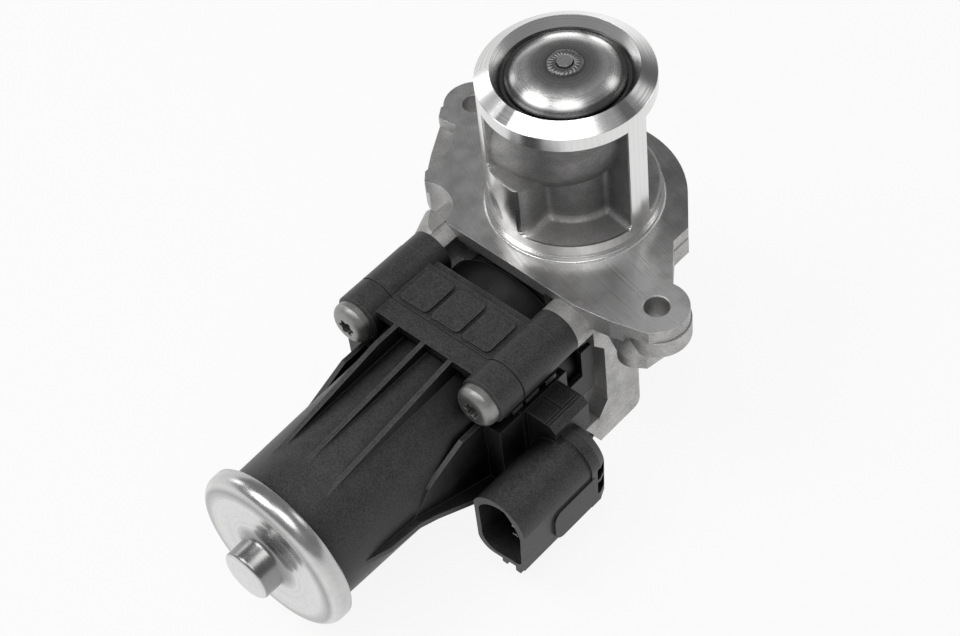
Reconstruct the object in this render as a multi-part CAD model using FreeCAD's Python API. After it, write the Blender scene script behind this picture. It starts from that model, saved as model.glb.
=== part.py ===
"""Electric exhaust gas recirculation valve, in millimetres.

The origin is the centre of the mounting face. +Z runs out along the valve stem
to the poppet disc, and the motor lies along -Y below the flange.
"""
import FreeCAD
import Part
import math
import os

Vector = FreeCAD.Vector

# Valve cage: the spigot that stands on the mounting face
CAGE_R = 23.0
SHOULDER_STEP = 0.65
SHOULDER_H = 1.5
SILL_Z = 5.4
WINDOW_H = 35.0
RING_BAND_H = 4.0
RING_CHAMFER_H = 2.6
RING_CONE_H = 2.5
RING_CONE_W = 2.0
STRUT_HALF_ANGLE = 8.5
SIDE_STRUT_ANGLE = 117.0
LEDGE_Z = 21.5
LEDGE_WALL_X = 3.0
POCKET_FILLET_R = 1.6
LEDGE_CORNER_R = 4.0
COLUMN_R = 13.4
LEAF_ANGLE = -110.5
LEAF_Z = 10.2
LEAF_W = 10.2
LEAF_H = 7.8
LEAF_DEPTH = 0.8

# Elbow duct inside the cage
DUCT_WALL = 4.0
DUCT_BEND_R = 12.0
DUCT_CENTRE_Z = 26.0
OUTLET_TOP_GAP = 1.9

# Poppet disc, its seat and the stem
DISC_R = 15.6
DISC_GAP = 1.3
DISC_RIM_H = 1.25
DISC_DOME_H = 3.0
DISC_RIM_W = 1.3
RIM_CHAMFER = 0.4
SPIGOT_GAP = 0.4
SPIGOT_H = 1.0
SEAT_DEPTH = 3.3
SEAT_H = 3.2
SEAT_LAND = 1.8
SEAT_STEP = 1.4
STEM_R = 3.0
STEM_TIP_R = 2.0
COLLAR_R = 4.75
COLLAR_H = 0.9
RUNNING_GAP = 0.04
TOUCH_GAP = 0.05

# Guides, seals and spring on the stem axis
GUIDE_R = 5.5
GUIDE_Z = 4.0
GUIDE_H = 11.5
GUIDE_BOSS_R = 8.5
SCRAPER_R = 6.5
SCRAPER_H = 2.2
SCRAPER_CAP_H = 1.3
SPRING_TOP_Z = 1.0
STEM_SEAL_R = 6.0
SPRING_CHAMBER_R = 9.6
SPRING_MEAN_R = 7.9
SPRING_WIRE_R = 0.8
SPRING_TURNS = 5.5
SPRING_RUNS = 14
SPRING_SIDES = 10
SPRING_H = 17.0
SPRING_PLATE_GAP = 0.6
SPRING_PLATE_H = 1.5
CROSSHEAD_H = 9.5
CROSSHEAD_W = 12.0
LOWER_GUIDE_BOSS_R = 6.0
LOWER_GUIDE_BOSS_H = 13.0
LOWER_GUIDE_PLUG_H = 10.0
STEM_TAIL = 11.0

# Lift and spiral cam
LIFT = 6.0
CAM_TURN = 120.0
CAM_START_R = 8.0
CAM_RIM = 2.2
CAM_FLOOR = 3.0
CAM_FACE_Y = -9.6
CAM_CHAMBER_GAP = 1.0
GROOVE_DEPTH = 5.8
GROOVE_GAP = 0.06
GROOVE_OVERRUN = 4.0
ROLLER_R = 3.2
ROLLER_W = 4.6
ROLLER_PIN_R = 1.8

# Motor and gear axis
AXIS_Z = -28.8

# Flange with two lugs
PLATE_H = 4.0
HOLE_R = 3.3
HOLE_CHAMFER = 0.25
LUG_R = 8.5
LEFT_LUG = (-44.4, 9.45)
RIGHT_LUG = (41.0, -16.4)
FLANGE_R = 29.7
FLANGE_FRONT_Y = -27.9
FLANGE_FRONT_SLANT = 1.05
FRONT_LEFT_X = -20.0
FRONT_RIGHT_X = 24.0
FRONT_BEND = (34.5, -27.4)
SCALLOP_R = 9.0
SCALLOP_CENTRE = (-30.2, -28.3)
LOWER_LAYER_H = 8.0
RIGHT_LAYER_H = 5.5
LUG_CAST_STEP = 0.4
BEAM_H = 2.4
BEAM_END_X = 38.0
LIP_TOP_Z = -11.0
LIP_BOTTOM_Z = -14.5
LIP_SLOPE_W = 3.4

# Gear chamber block under the flange
BLOCK_HALF_W = 28.2
BLOCK_FRONT_Y = -26.7
BLOCK_BACK_Y = -5.5
BLOCK_CORNER_R = 7.0
BODY_BOSS_FRONT_Y = -33.0
FLARE_R = 9.2
FLARE_H = 6.5
FLARE_TOP_Z = -0.8
WINDOW_DEPTH = 3.2
WINDOW_LEFT_X = -19.0
WINDOW_RIGHT_X = 11.8
WINDOW_DROP = 9.0
POCKET_LEFT_X = 13.7
POCKET_RIGHT_X = 21.4
POCKET_TOP_Z = -3.1
POCKET_BOTTOM_Z = -9.0
POCKET_DEPTH = 3.4
NOTCH_DEPTH = 5.0
NOTCH_BACK_Y = -22.9
NOTCH_TOP = 8.5
NOTCH_BOTTOM = 13.2
NOTCH_SLOPE = 4.6

# Screws, all four on one rectangle round the motor axis
SCREW_X = 21.8
SCREW_Z = 20.9
BOSS_R = 6.8
SCREW_R = 2.5
SCREW_CLEARANCE = 0.25
SCREW_TIP_Y = -14.0
HEAD_R = 6.0
HEAD_H = 3.9
HEAD_RECESS_R = 2.6
HEAD_RECESS_DEPTH = 2.3

# Black mouldings, from the motor end to the flange
HEAD_SEAT_Y = -62.2
HOUSING_SEAM_Y = -54.0
COVER_SEAM_Y = -39.0
COVER_DRUM_END_Y = -28.0
COVER_TIP_Y = -23.0
PANEL_Z = -3.5
SIDE_PLATE_X = 27.0
SIDE_PLATE_HALF_H = 11.6
PANEL_LIP = 5.5
FILL_LIP = 3.5
SEAM_STEP = 0.4
SEAM_STEP_H = 0.6
BOSS_CHAMFER = 0.5
COVER_DRUM_R = 23.3
COVER_SPIGOT_R = 21.9
COVER_FLOOR_DEPTH = 9.0
COVER_HOLLOW_DEPTH = 6.0
EAR_X = 24.2
EAR_W = 1.4
EAR_TIP_Y = -24.6
EAR_TOP = 10.5
EAR_BOTTOM = 7.0
EAR_ARM_TOP = 1.0
EAR_ARM_L = 4.6
SLEEVE_R = 6.7
GEAR_CAVITY_R = 22.0
MOULD_WALL = 2.4
SEAL_W = 1.8
SEAL_T = 1.4
HOUSING_SEAL_R = 21.2

# Motor tube with its ribs
TUBE_END_R = 20.5
TUBE_ROOT_R = 21.8
TUBE_L = 57.4
TUBE_FLANGE_H = 3.6
TUBE_FLANGE_STEP = 2.25
RIB_W = 1.4
RIB_X = 9.3
RIB_TIP_GAP = 13.6
RIB_LEVEL_Y = -67.0
SIDE_WEB_X = 21.4
SIDE_RIB_GAP = 12.1
SIDE_RIB_BEND_Y = -89.5

# Motor
CAN_R = 18.0
CAN_WALL = 1.5
CAN_FRONT_Y = -62.0
CAN_END_GAP = 1.1
MAGNET_WALL = 3.0
AIR_GAP = 0.5
SHAFT_R = 2.0
CORE_END_GAP = 12.5
CORE_FRONT_GAP = 18.0
CORE_SLOTS = 5
CROWN_H = 3.0
COMMUTATOR_R = 4.6
COMMUTATOR_L = 7.0
BRUSH_W = 3.8
BRUSH_L = 6.5
BRUSH_BOX_L = 7.0
BRUSH_BOX_WALL = 0.9
BRUSH_PLATE_H = 2.2
BEARING_R = 6.1
BEARING_L = 6.0
BEARING_TAIL = 2.0
BEARING_PLAY = 0.4
CAP_WALL = 1.2
CAP_FACE_GAP = 1.7
CAP_SKIRT_H = 6.0
CAP_EDGE_R = 2.0
STUB_R = 7.3
STUB_H = 7.7
STUB_COLLAR_W = 1.0
STUB_COLLAR_H = 0.7

# Planetary gears
MODULE = 0.9
SUN_TEETH = 12
PLANET_TEETH = 15
RING_TEETH = 42
PLANETS = 3
ADDENDUM = 0.8
ROOT_GAP = 0.2
FLANK_THINNING = 0.06
PRESSURE_ANGLE = 20.0
GEAR_Y0 = -47.5
GEAR_Y1 = -41.5
PLANET_PIN_R = 1.5
CARRIER_R = 16.0
CARRIER_H = 2.6
OUTPUT_R = 5.0
OUTPUT_BUSH_R = 7.5
OUTPUT_BUSH_H = 8.0
CARRIER_GAP = 1.5
SHAFT_PASS_GAP = 0.4

# Position sensor on the output shaft
SENSOR_MAGNET_R = 8.0
SENSOR_MAGNET_H = 2.0
SENSOR_BOARD_H = 1.5
SENSOR_BOARD_HALF_W = 12.0

# Connector on the side of the gear housing
SOCKET_MOUTH_Y = -75.9
SOCKET_COLLAR_Y = -50.0
SOCKET_BACK_Y = -42.8
SOCKET_LEFT_X = 28.9
SOCKET_RIGHT_X = 45.8
SOCKET_TOP_Z = -23.2
SOCKET_BOTTOM_Z = -47.9
SOCKET_COLLAR = 0.5
SOCKET_PAD_H = 0.5
SOCKET_PAD_FRONT_Y = -65.0
SOCKET_PAD_TOP_Z = -33.7
SOCKET_PAD_BOTTOM_Z = -44.2
SOCKET_POCKETS = ((-42.4, -37.4), (-36.2, -31.6))
SOCKET_POCKET_DEPTH = 2.4
LATCH_FRONT_Y = -52.2
LATCH_RIGHT_X = 36.6
LATCH_TOP_Z = -18.2
LATCH_BEVEL = 1.8
FOOT_X = (36.8, 41.4)
FOOT_W = 1.6
FOOT_H = 1.2
SOCKET_WALL = 1.5
SOCKET_DEPTH = 20.0
TERMINALS = 5
TERMINAL_PITCH = 3.6
TERMINAL_W = 2.0
TERMINAL_T = 0.8

# Places worked out from the sizes above
WINDOW_TOP_Z = SILL_Z + WINDOW_H
RING_EDGE_Z = WINDOW_TOP_Z + RING_BAND_H
RING_TOP_Z = RING_EDGE_Z + RING_CHAMFER_H
RECESS_R = DISC_R + DISC_GAP
RING_CREST_R = RECESS_R + RING_CONE_W
SEAT_Z = RING_TOP_Z - SEAT_DEPTH
SEAT_BORE_R = DISC_R - SEAT_LAND
DUCT_R = RECESS_R - SEAT_STEP
DUCT_OUTER_R = DUCT_R + DUCT_WALL
DISC_RIM_Z = SEAT_Z + TOUCH_GAP + DISC_RIM_H
DISC_TOP_Z = DISC_RIM_Z + DISC_DOME_H
PIN_Z = AXIS_Z + CAM_START_R
SPRING_PLATE_Z = SPRING_TOP_Z - SPRING_H
CROSSHEAD_TOP_Z = SPRING_PLATE_Z - SPRING_PLATE_H
CROSSHEAD_BOTTOM_Z = CROSSHEAD_TOP_Z - CROSSHEAD_H
CAM_R = CAM_START_R + LIFT + ROLLER_R + GROOVE_GAP + CAM_RIM
CAM_BACK_Y = CAM_FACE_Y - GROOVE_DEPTH - CAM_FLOOR
CHAMBER_R = CAM_R + CAM_CHAMBER_GAP
CHAMBER_END_Y = CAM_FACE_Y + CAM_CHAMBER_GAP
BLOCK_BOTTOM_Z = AXIS_Z - SCREW_Z - BOSS_R
LOWER_GUIDE_TOP_Z = BLOCK_BOTTOM_Z + LOWER_GUIDE_PLUG_H + LOWER_GUIDE_BOSS_H
STEM_BOTTOM_Z = LOWER_GUIDE_TOP_Z - STEM_TAIL
PANEL_RISE = PANEL_Z - AXIS_Z
GEAR_CENTRES = MODULE * (SUN_TEETH + PLANET_TEETH) / 2
PANEL_EDGE_Y = HOUSING_SEAM_Y - PANEL_LIP
FILL_EDGE_Y = HOUSING_SEAM_Y - FILL_LIP
TUBE_END_Y = HEAD_SEAT_Y - TUBE_L
RIB_TIP_Y = TUBE_END_Y + RIB_TIP_GAP
SIDE_RIB_Y = TUBE_END_Y + SIDE_RIB_GAP
CAN_END_Y = TUBE_END_Y + CAN_END_GAP
CORE_Y0 = CAN_END_Y + CORE_END_GAP
CORE_Y1 = CAN_FRONT_Y - CORE_FRONT_GAP
CAP_FACE_Y = TUBE_END_Y - CAP_FACE_GAP
STUB_END_Y = CAP_FACE_Y - STUB_H
TUBE_FLANGE_R = TUBE_END_R + TUBE_FLANGE_STEP
CAP_R = TUBE_FLANGE_R + CAP_WALL
CARRIER_Y0 = GEAR_Y1 + 0.4
CARRIER_Y1 = CARRIER_Y0 + CARRIER_H


def rod_z(radius, z0, z1, x=0.0, y=0.0):
    """Upright cylinder from z0 up to z1."""
    return Part.makeCylinder(radius, z1 - z0, Vector(x, y, z0), Vector(0, 0, 1))


def rod_y(radius, y0, y1, x=0.0, z=AXIS_Z):
    """Cylinder parallel to the motor axis, from y0 to y1."""
    return Part.makeCylinder(radius, y1 - y0, Vector(x, y0, z), Vector(0, 1, 0))


def box(x0, x1, y0, y1, z0, z1):
    """Box between two corners."""
    return Part.makeBox(x1 - x0, y1 - y0, z1 - z0, Vector(x0, y0, z0))


def merge(shapes):
    """One solid from touching shapes."""
    result = shapes[0]
    if len(shapes) > 1:
        result = shapes[0].fuse(shapes[1:])
    return result.removeSplitter()


def outline(points, place):
    """Closed face. A point is a corner, and a pair of points is an arc through
    the first to the second. place turns two flat values into a vector."""
    edges = []
    last = points[0]
    for step in points[1:] + [points[0]]:
        if isinstance(step[0], tuple):
            through, end = step
            edges.append(Part.Arc(place(*last), place(*through), place(*end)).toShape())
            last = end
        elif step != last:
            edges.append(Part.makeLine(place(*last), place(*step)))
            last = step
    return Part.Face(Part.Wire(edges))


def plan(z):
    """Places flat (x, y) points at the height z."""
    return lambda x, y: Vector(x, y, z)


def front(y):
    """Places flat (x, z) points in the plane y."""
    return lambda x, z: Vector(x, y, z)


def side(x):
    """Places flat (y, z) points in the plane x."""
    return lambda y, z: Vector(x, y, z)


def turned_z(points):
    """Solid of revolution about the valve axis from (radius, z) points."""
    face = outline(points, lambda r, z: Vector(r, 0, z))
    return face.revolve(Vector(0, 0, 0), Vector(0, 0, 1), 360)


def turned_y(points):
    """Solid of revolution about the motor axis from (y, radius) points."""
    face = outline(points, lambda y, r: Vector(r, y, AXIS_Z))
    return face.revolve(Vector(0, 0, AXIS_Z), Vector(0, 1, 0), 360)


def ring_y(outer_r, inner_r, y0, y1):
    """Plain ring about the motor axis."""
    return rod_y(outer_r, y0, y1).cut(rod_y(inner_r, y0 - 1, y1 + 1))


def ring_z(outer_r, inner_r, z0, z1):
    """Plain ring about the valve axis."""
    return rod_z(outer_r, z0, z1).cut(rod_z(inner_r, z0 - 1, z1 + 1))


def polar(radius, degrees):
    """Flat point at a radius and an angle from +X."""
    angle = math.radians(degrees)
    return (radius * math.cos(angle), radius * math.sin(angle))


def screw_points():
    """The four (x, z) screw axes."""
    return [(x, AXIS_Z + z) for x in (-SCREW_X, SCREW_X) for z in (-SCREW_Z, SCREW_Z)]


def mirrored(shape, normal):
    """Mirror image through the plane at the origin with that normal."""
    return shape.mirror(Vector(0, 0, 0), normal)


# Aluminium casting

def elbow(radius, top_z, reach):
    """Round duct that drops from the ring and turns towards -X. The bend is
    tighter than the duct, so only the half outside the bend's axis is turned."""
    bend_z = DUCT_CENTRE_Z + DUCT_BEND_R
    half_chord = math.sqrt(radius ** 2 - DUCT_BEND_R ** 2)
    flat = outline(
        [(-DUCT_BEND_R, -half_chord), ((radius, 0.0), (-DUCT_BEND_R, half_chord))],
        plan(bend_z),
    )
    bend = flat.revolve(Vector(-DUCT_BEND_R, 0, bend_z), Vector(0, 1, 0), 90)
    drop = rod_z(radius, bend_z, top_z)
    level = Part.makeCylinder(
        radius, reach - DUCT_BEND_R, Vector(-DUCT_BEND_R, 0, DUCT_CENTRE_Z), Vector(-1, 0, 0)
    )
    return merge([drop, bend, level])


def sector(start, end, z0, z1):
    """Pie-shaped prism between two angles, wider than the cage."""
    reach = CAGE_R * 1.5
    middle = (start + end) / 2
    face = outline(
        [(0.0, 0.0), polar(reach, start), (polar(reach, middle), polar(reach, end))],
        plan(z0),
    )
    return face.extrude(Vector(0, 0, z1 - z0))


def ledge_corner():
    """Cutter that rounds the upright corner between the ledge's wall and the
    outside of the cage."""
    x, radius = LEDGE_WALL_X, LEDGE_CORNER_R
    start_y = radius * 0.92 - CAGE_R
    half = radius * math.sqrt(0.5)
    face = outline(
        [(x, start_y), ((x - radius + half, start_y - half), (x - radius, start_y - radius)),
         (x - radius, start_y - radius * 2), (x + radius, start_y - radius * 2), (x + radius, start_y)],
        plan(SILL_Z),
    )
    return face.extrude(Vector(0, 0, LEDGE_Z + 1 - SILL_Z))


def rounded_pocket(pocket):
    """Pocket with cast corners: along its floor, up its two inner corners and at
    the foot of the side strut."""
    corners = []
    for edge in pocket.Edges:
        bounds = edge.BoundBox
        inside = min(math.hypot(vertex.X, vertex.Y) for vertex in edge.Vertexes) < CAGE_R - 1
        upright = bounds.XLength < TOUCH_GAP and bounds.YLength < TOUCH_GAP and bounds.ZLength > DUCT_WALL
        on_floor = bounds.ZMax < SILL_Z + TOUCH_GAP
        on_ledge = bounds.XMax < 0 and bounds.ZMax < LEDGE_Z + TOUCH_GAP
        side_foot = on_ledge and isinstance(edge.Curve, Part.Line)
        if inside and (upright or on_floor or side_foot):
            corners.append(edge)
    return pocket.makeFillet(POCKET_FILLET_R, corners)


def window_cut(core):
    """One external pocket of the cage, from the strut on +X to the side strut.
    Below the ledge it stops at a wall parallel to the stem."""
    upper = sector(-SIDE_STRUT_ANGLE, -STRUT_HALF_ANGLE, LEDGE_Z, WINDOW_TOP_Z)
    lower = sector(-90.0, -STRUT_HALF_ANGLE, SILL_Z, LEDGE_Z + 1)
    keep = box(LEDGE_WALL_X, CAGE_R * 2, -CAGE_R * 2, 0, SILL_Z, LEDGE_Z + 2)
    pocket = merge([upper, lower.common(keep), ledge_corner()]).cut(core)
    return rounded_pocket(pocket)


def leaf_recess():
    """Shallow lens-shaped pocket in the side of the cage."""
    half_w = LEAF_W / 2
    half_h = LEAF_H / 2
    bow = half_w * 0.55
    face = outline(
        [(-half_w, half_h), ((bow, 0.0), (half_w * 0.6, -half_h)),
         ((-bow, -half_h * 0.1), (-half_w, half_h))],
        lambda u, v: Vector(CAGE_R - LEAF_DEPTH, u, LEAF_Z + v),
    )
    lens = face.extrude(Vector(LEAF_DEPTH * 4, 0, 0))
    lens.rotate(Vector(0, 0, 0), Vector(0, 0, 1), LEAF_ANGLE)
    return lens


def cage():
    """Machined spigot with its ring, struts, cast pockets and elbow duct."""
    body = turned_z([
        (0.0, -PLATE_H), (CAGE_R + SHOULDER_STEP, -PLATE_H), (CAGE_R + SHOULDER_STEP, SHOULDER_H),
        (CAGE_R, SHOULDER_H), (CAGE_R, RING_EDGE_Z), (RING_CREST_R, RING_TOP_Z),
        (RECESS_R, RING_TOP_Z - RING_CONE_H), (RECESS_R, SEAT_Z - SEAT_H),
        (0.0, SEAT_Z - SEAT_H),
    ])
    core = merge([elbow(DUCT_OUTER_R, WINDOW_TOP_Z + 1, CAGE_R * 2), rod_z(COLUMN_R, 0, DUCT_CENTRE_Z)])
    pocket = window_cut(core)
    body = body.cut([pocket, mirrored(pocket, Vector(0, 1, 0)), leaf_recess()])
    duct = elbow(DUCT_R, SEAT_Z, CAGE_R + 5)
    outlet_roof = box(
        -CAGE_R * 2, -DUCT_BEND_R, -CAGE_R, CAGE_R, WINDOW_TOP_Z - OUTLET_TOP_GAP, RING_TOP_Z
    )
    boss = rod_z(GUIDE_BOSS_R, SPRING_TOP_Z, GUIDE_Z + GUIDE_H + SCRAPER_H + SCRAPER_CAP_H)
    body = body.cut(duct.cut([outlet_roof, boss]))
    return body


def stem_bores():
    """Everything bored on the valve axis through the column."""
    top = GUIDE_Z + GUIDE_H
    return merge([
        rod_z(SPRING_CHAMBER_R, BLOCK_BOTTOM_Z - 1, SPRING_TOP_Z),
        rod_z(STEM_SEAL_R, SPRING_TOP_Z - 1, GUIDE_Z),
        rod_z(GUIDE_R, GUIDE_Z - 1, top),
        rod_z(SCRAPER_R, top, top + SCRAPER_H + SCRAPER_CAP_H + 1),
    ])


def front_corners():
    """Both ends of the flange's straight front edge."""
    return (FRONT_LEFT_X, FLANGE_FRONT_Y), (FRONT_RIGHT_X, FLANGE_FRONT_Y - FLANGE_FRONT_SLANT)


def flange_corners():
    """Corners of the flange plate between its round parts."""
    left_x, left_y = LEFT_LUG
    right_x, right_y = RIGHT_LUG
    front_left, front_right = front_corners()
    return [
        polar(FLANGE_R, 37.6), (30.6, 9.4), (30.6, 3.3), (34.5, -1.8), (38.3, right_y + 9.9),
        (right_x + LUG_R * 0.62, right_y), (right_x + 6.5, right_y - 5.5), (right_x + 4.0, right_y - 8.2),
        FRONT_BEND, front_right, front_left, (-35.4, -20.4), (-37.6, -17.8),
        (-37.9, -8.0), (-42.6, left_y - 9.5), (left_x - 4.2, left_y - 9.9),
        (left_x - 6.3, left_y - 6.7), (left_x - 2.0, left_y + 8.2), polar(FLANGE_R, 128.0),
    ]


def front_waste():
    """What lies in front of the flange's straight edge and is milled off."""
    left, right = front_corners()
    reach = FLANGE_FRONT_Y * 1.5
    face = outline([left, (left[0], reach), (right[0], reach), right], plan(-PLATE_H))
    return face.extrude(Vector(0, 0, PLATE_H))


def flange_plate():
    """Flange plate with both lugs and its straight front edge."""
    web = outline(flange_corners(), plan(-PLATE_H)).extrude(Vector(0, 0, PLATE_H))
    disc = rod_z(FLANGE_R, -PLATE_H, 0).cut(front_waste())
    lugs = [rod_z(LUG_R, -PLATE_H, 0, *lug) for lug in (LEFT_LUG, RIGHT_LUG)]
    return merge([disc, web] + lugs)


def left_layer():
    """As-cast layer under the plate at the left lug."""
    top = -PLATE_H
    bottom = top - LOWER_LAYER_H
    left_x, left_y = LEFT_LUG
    front_left = front_corners()[0]
    web = outline(
        [(left_x - 6.4, left_y - 6.2), (-43.6, -9.5), (-37.6, -18.6), front_left,
         (FRONT_LEFT_X, 0.0), (-10.0, 22.0), (left_x, left_y + LUG_R)],
        plan(bottom),
    ).extrude(Vector(0, 0, LOWER_LAYER_H))
    return merge([web, rod_z(LUG_R + LUG_CAST_STEP / 2, bottom, top, *LEFT_LUG)])


def right_layer():
    """As-cast layer under the plate at the right lug, with the front beam."""
    top = -PLATE_H
    bottom = top - RIGHT_LAYER_H
    right_x, right_y = RIGHT_LUG
    front_right = front_corners()[1]
    web = outline(
        [(22.0, 14.0), (30.8, 9.2), (30.8, 3.2), (34.6, -2.0), (right_x - 2.7, right_y + 8.6),
         (right_x, right_y), (36.0, -24.0), (22.0, -24.0)],
        plan(bottom),
    ).extrude(Vector(0, 0, RIGHT_LAYER_H))
    beam = outline(
        [front_right, FRONT_BEND, (BEAM_END_X, FRONT_BEND[1] + 0.9), (BEAM_END_X, right_y - 4.0),
         (FRONT_RIGHT_X, right_y - 4.0)],
        plan(top - BEAM_H),
    ).extrude(Vector(0, 0, BEAM_H))
    return merge([web, beam, rod_z(LUG_R + LUG_CAST_STEP, bottom, top, *RIGHT_LUG)])


def lip_outline(inset, z):
    """Outline of the lip under the right lug, set back at the front by inset."""
    right_x, right_y = RIGHT_LUG
    return outline(
        [(27.0, right_y + 5.0), (27.0, right_y - 5.0), (right_x - 6.5, right_y - 8.6 + inset),
         ((right_x - 2.8, right_y - 11.0 + inset), (right_x + 1.0, right_y - 9.7 + inset)),
         (right_x + 3.2, right_y - 8.3 + inset), (right_x + 4.2, right_y - 2.8),
         (right_x + 4.2, right_y + 5.0)],
        plan(z),
    )


def lug_lip():
    """Lip under the right lug with the sloping pocket between it and the plate."""
    lip = lip_outline(0.0, LIP_BOTTOM_Z).extrude(Vector(0, 0, LIP_TOP_Z - LIP_BOTTOM_Z))
    wires = [lip_outline(0.0, LIP_TOP_Z).OuterWire, lip_outline(LIP_SLOPE_W, -PLATE_H).OuterWire]
    return merge([lip, Part.makeLoft(wires, True, True)])


def boss_flare():
    """Upper left screw boss where it widens into the casting below the scallop."""
    x, z = -SCREW_X, AXIS_Z + SCREW_Z
    cone = Part.makeCone(BOSS_R, FLARE_R, FLARE_H, Vector(x, BODY_BOSS_FRONT_Y, z), Vector(0, 1, 0))
    keep = box(x - FLARE_R - 1, x, BODY_BOSS_FRONT_Y, BLOCK_FRONT_Y + 1, z - FLARE_R, FLARE_TOP_Z)
    return cone.common(keep)


def chamber_block():
    """Block under the flange that holds the cam, with its front window and four
    screw bosses."""
    block = box(-BLOCK_HALF_W, BLOCK_HALF_W, BLOCK_FRONT_Y, BLOCK_BACK_Y, BLOCK_BOTTOM_Z, -PLATE_H)
    corners = [
        edge for edge in block.Edges
        if edge.BoundBox.ZLength > 1 and edge.BoundBox.YMin > BLOCK_FRONT_Y + 1
    ]
    block = block.makeFillet(BLOCK_CORNER_R, corners)
    hump = rod_z(COLUMN_R, BLOCK_BOTTOM_Z, 0)
    boss_end = BLOCK_BACK_Y - BLOCK_CORNER_R
    bosses = [rod_y(BOSS_R, BODY_BOSS_FRONT_Y, boss_end, x, z) for x, z in screw_points()]
    window = box(WINDOW_LEFT_X, WINDOW_RIGHT_X, BODY_BOSS_FRONT_Y - 1, BLOCK_FRONT_Y + WINDOW_DEPTH,
                 -PLATE_H - WINDOW_DROP, -PLATE_H + 1)
    return merge([block.cut(window), hump] + [boss.cut(window) for boss in bosses])


def chamber_cuts():
    """Cam chamber, the seat of the black cover and the openings round it."""
    front_y = BODY_BOSS_FRONT_Y - 1
    cuts = [
        rod_y(CHAMBER_R, BLOCK_FRONT_Y - 1, CHAMBER_END_Y),
        rod_y(COVER_SPIGOT_R, front_y, COVER_TIP_Y),
    ]
    small = outline(
        [(POCKET_LEFT_X, POCKET_TOP_Z), (POCKET_RIGHT_X - 1.8, POCKET_TOP_Z),
         ((POCKET_RIGHT_X - 0.5, POCKET_TOP_Z - 0.5), (POCKET_RIGHT_X, POCKET_TOP_Z - 2.0)),
         (POCKET_RIGHT_X, POCKET_BOTTOM_Z), (POCKET_LEFT_X, POCKET_BOTTOM_Z)],
        front(front_y),
    ).extrude(Vector(0, FLANGE_FRONT_Y + POCKET_DEPTH - front_y, 0))
    high, low = AXIS_Z + NOTCH_TOP, AXIS_Z - NOTCH_BOTTOM
    notch = outline(
        [(front_y, high + NOTCH_SLOPE), (BLOCK_FRONT_Y, high + NOTCH_SLOPE), (NOTCH_BACK_Y, high),
         (NOTCH_BACK_Y, low), (BLOCK_FRONT_Y, low - NOTCH_SLOPE), (front_y, low - NOTCH_SLOPE)],
        side(BLOCK_HALF_W - NOTCH_DEPTH),
    ).extrude(Vector(NOTCH_DEPTH + 1, 0, 0))
    cuts += [small, notch, mirrored(notch, Vector(1, 0, 0))]
    for x, z in screw_points():
        cuts.append(rod_y(SCREW_R, BODY_BOSS_FRONT_Y - 1, SCREW_TIP_Y + 1, x, z))
    return cuts


def bolt_holes():
    """Two through holes with a chamfer at the mounting face."""
    cuts = []
    for x, y in (LEFT_LUG, RIGHT_LUG):
        cuts.append(rod_z(HOLE_R, LIP_BOTTOM_Z - 1, 1, x, y))
        cuts.append(Part.makeCone(HOLE_R, HOLE_R + HOLE_CHAMFER, HOLE_CHAMFER, Vector(x, y, -HOLE_CHAMFER)))
    return cuts


def valve_body():
    """The whole aluminium casting."""
    scallop = rod_z(SCALLOP_R, -PLATE_H - LOWER_LAYER_H - 1, 1, *SCALLOP_CENTRE)
    plate = merge([flange_plate(), left_layer(), right_layer()]).cut(scallop)
    body = merge([plate, lug_lip(), chamber_block(), boss_flare(), cage()])
    return body.cut(chamber_cuts() + bolt_holes() + [stem_bores()])


# Poppet valve

def seat_ring():
    return ring_z(RECESS_R, SEAT_BORE_R, SEAT_Z - SEAT_H, SEAT_Z)


def valve_disc():
    """Domed disc with a thin rim and a spigot that enters the seat."""
    under_z = SEAT_Z + TOUCH_GAP
    spigot_r = SEAT_BORE_R - SPIGOT_GAP
    dome_r = DISC_R - DISC_RIM_W
    middle_r = dome_r * 0.68
    middle_z = DISC_RIM_Z + DISC_DOME_H * 0.78
    return turned_z([
        (STEM_TIP_R, under_z - SPIGOT_H), (spigot_r, under_z - SPIGOT_H), (spigot_r, under_z),
        (DISC_R - RIM_CHAMFER, under_z), (DISC_R, under_z + RIM_CHAMFER),
        (DISC_R, DISC_RIM_Z - RIM_CHAMFER), (DISC_R - RIM_CHAMFER, DISC_RIM_Z),
        (dome_r, DISC_RIM_Z + 0.2), ((middle_r, middle_z), (COLLAR_R, DISC_TOP_Z)),
        (STEM_TIP_R, DISC_TOP_Z),
    ])


def stem_collar():
    """Welded collar round the stem's end on top of the disc."""
    return ring_z(COLLAR_R, STEM_TIP_R, DISC_TOP_Z, DISC_TOP_Z + COLLAR_H)


def valve_stem():
    tip_z = DISC_TOP_Z + COLLAR_H
    step_z = SEAT_Z + TOUCH_GAP - SPIGOT_H
    return merge([rod_z(STEM_R, STEM_BOTTOM_Z, step_z), rod_z(STEM_TIP_R, step_z, tip_z)])


def guide_bush():
    return ring_z(GUIDE_R, STEM_R + RUNNING_GAP, GUIDE_Z, GUIDE_Z + GUIDE_H)


def stem_scraper():
    z0 = GUIDE_Z + GUIDE_H
    return ring_z(SCRAPER_R, STEM_R + RUNNING_GAP, z0, z0 + SCRAPER_H)


def scraper_cap():
    z0 = GUIDE_Z + GUIDE_H + SCRAPER_H
    return ring_z(SCRAPER_R, STEM_R + 0.3, z0, z0 + SCRAPER_CAP_H)


def stem_seal():
    return ring_z(STEM_SEAL_R, STEM_R + RUNNING_GAP, SPRING_TOP_Z, GUIDE_Z)


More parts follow.
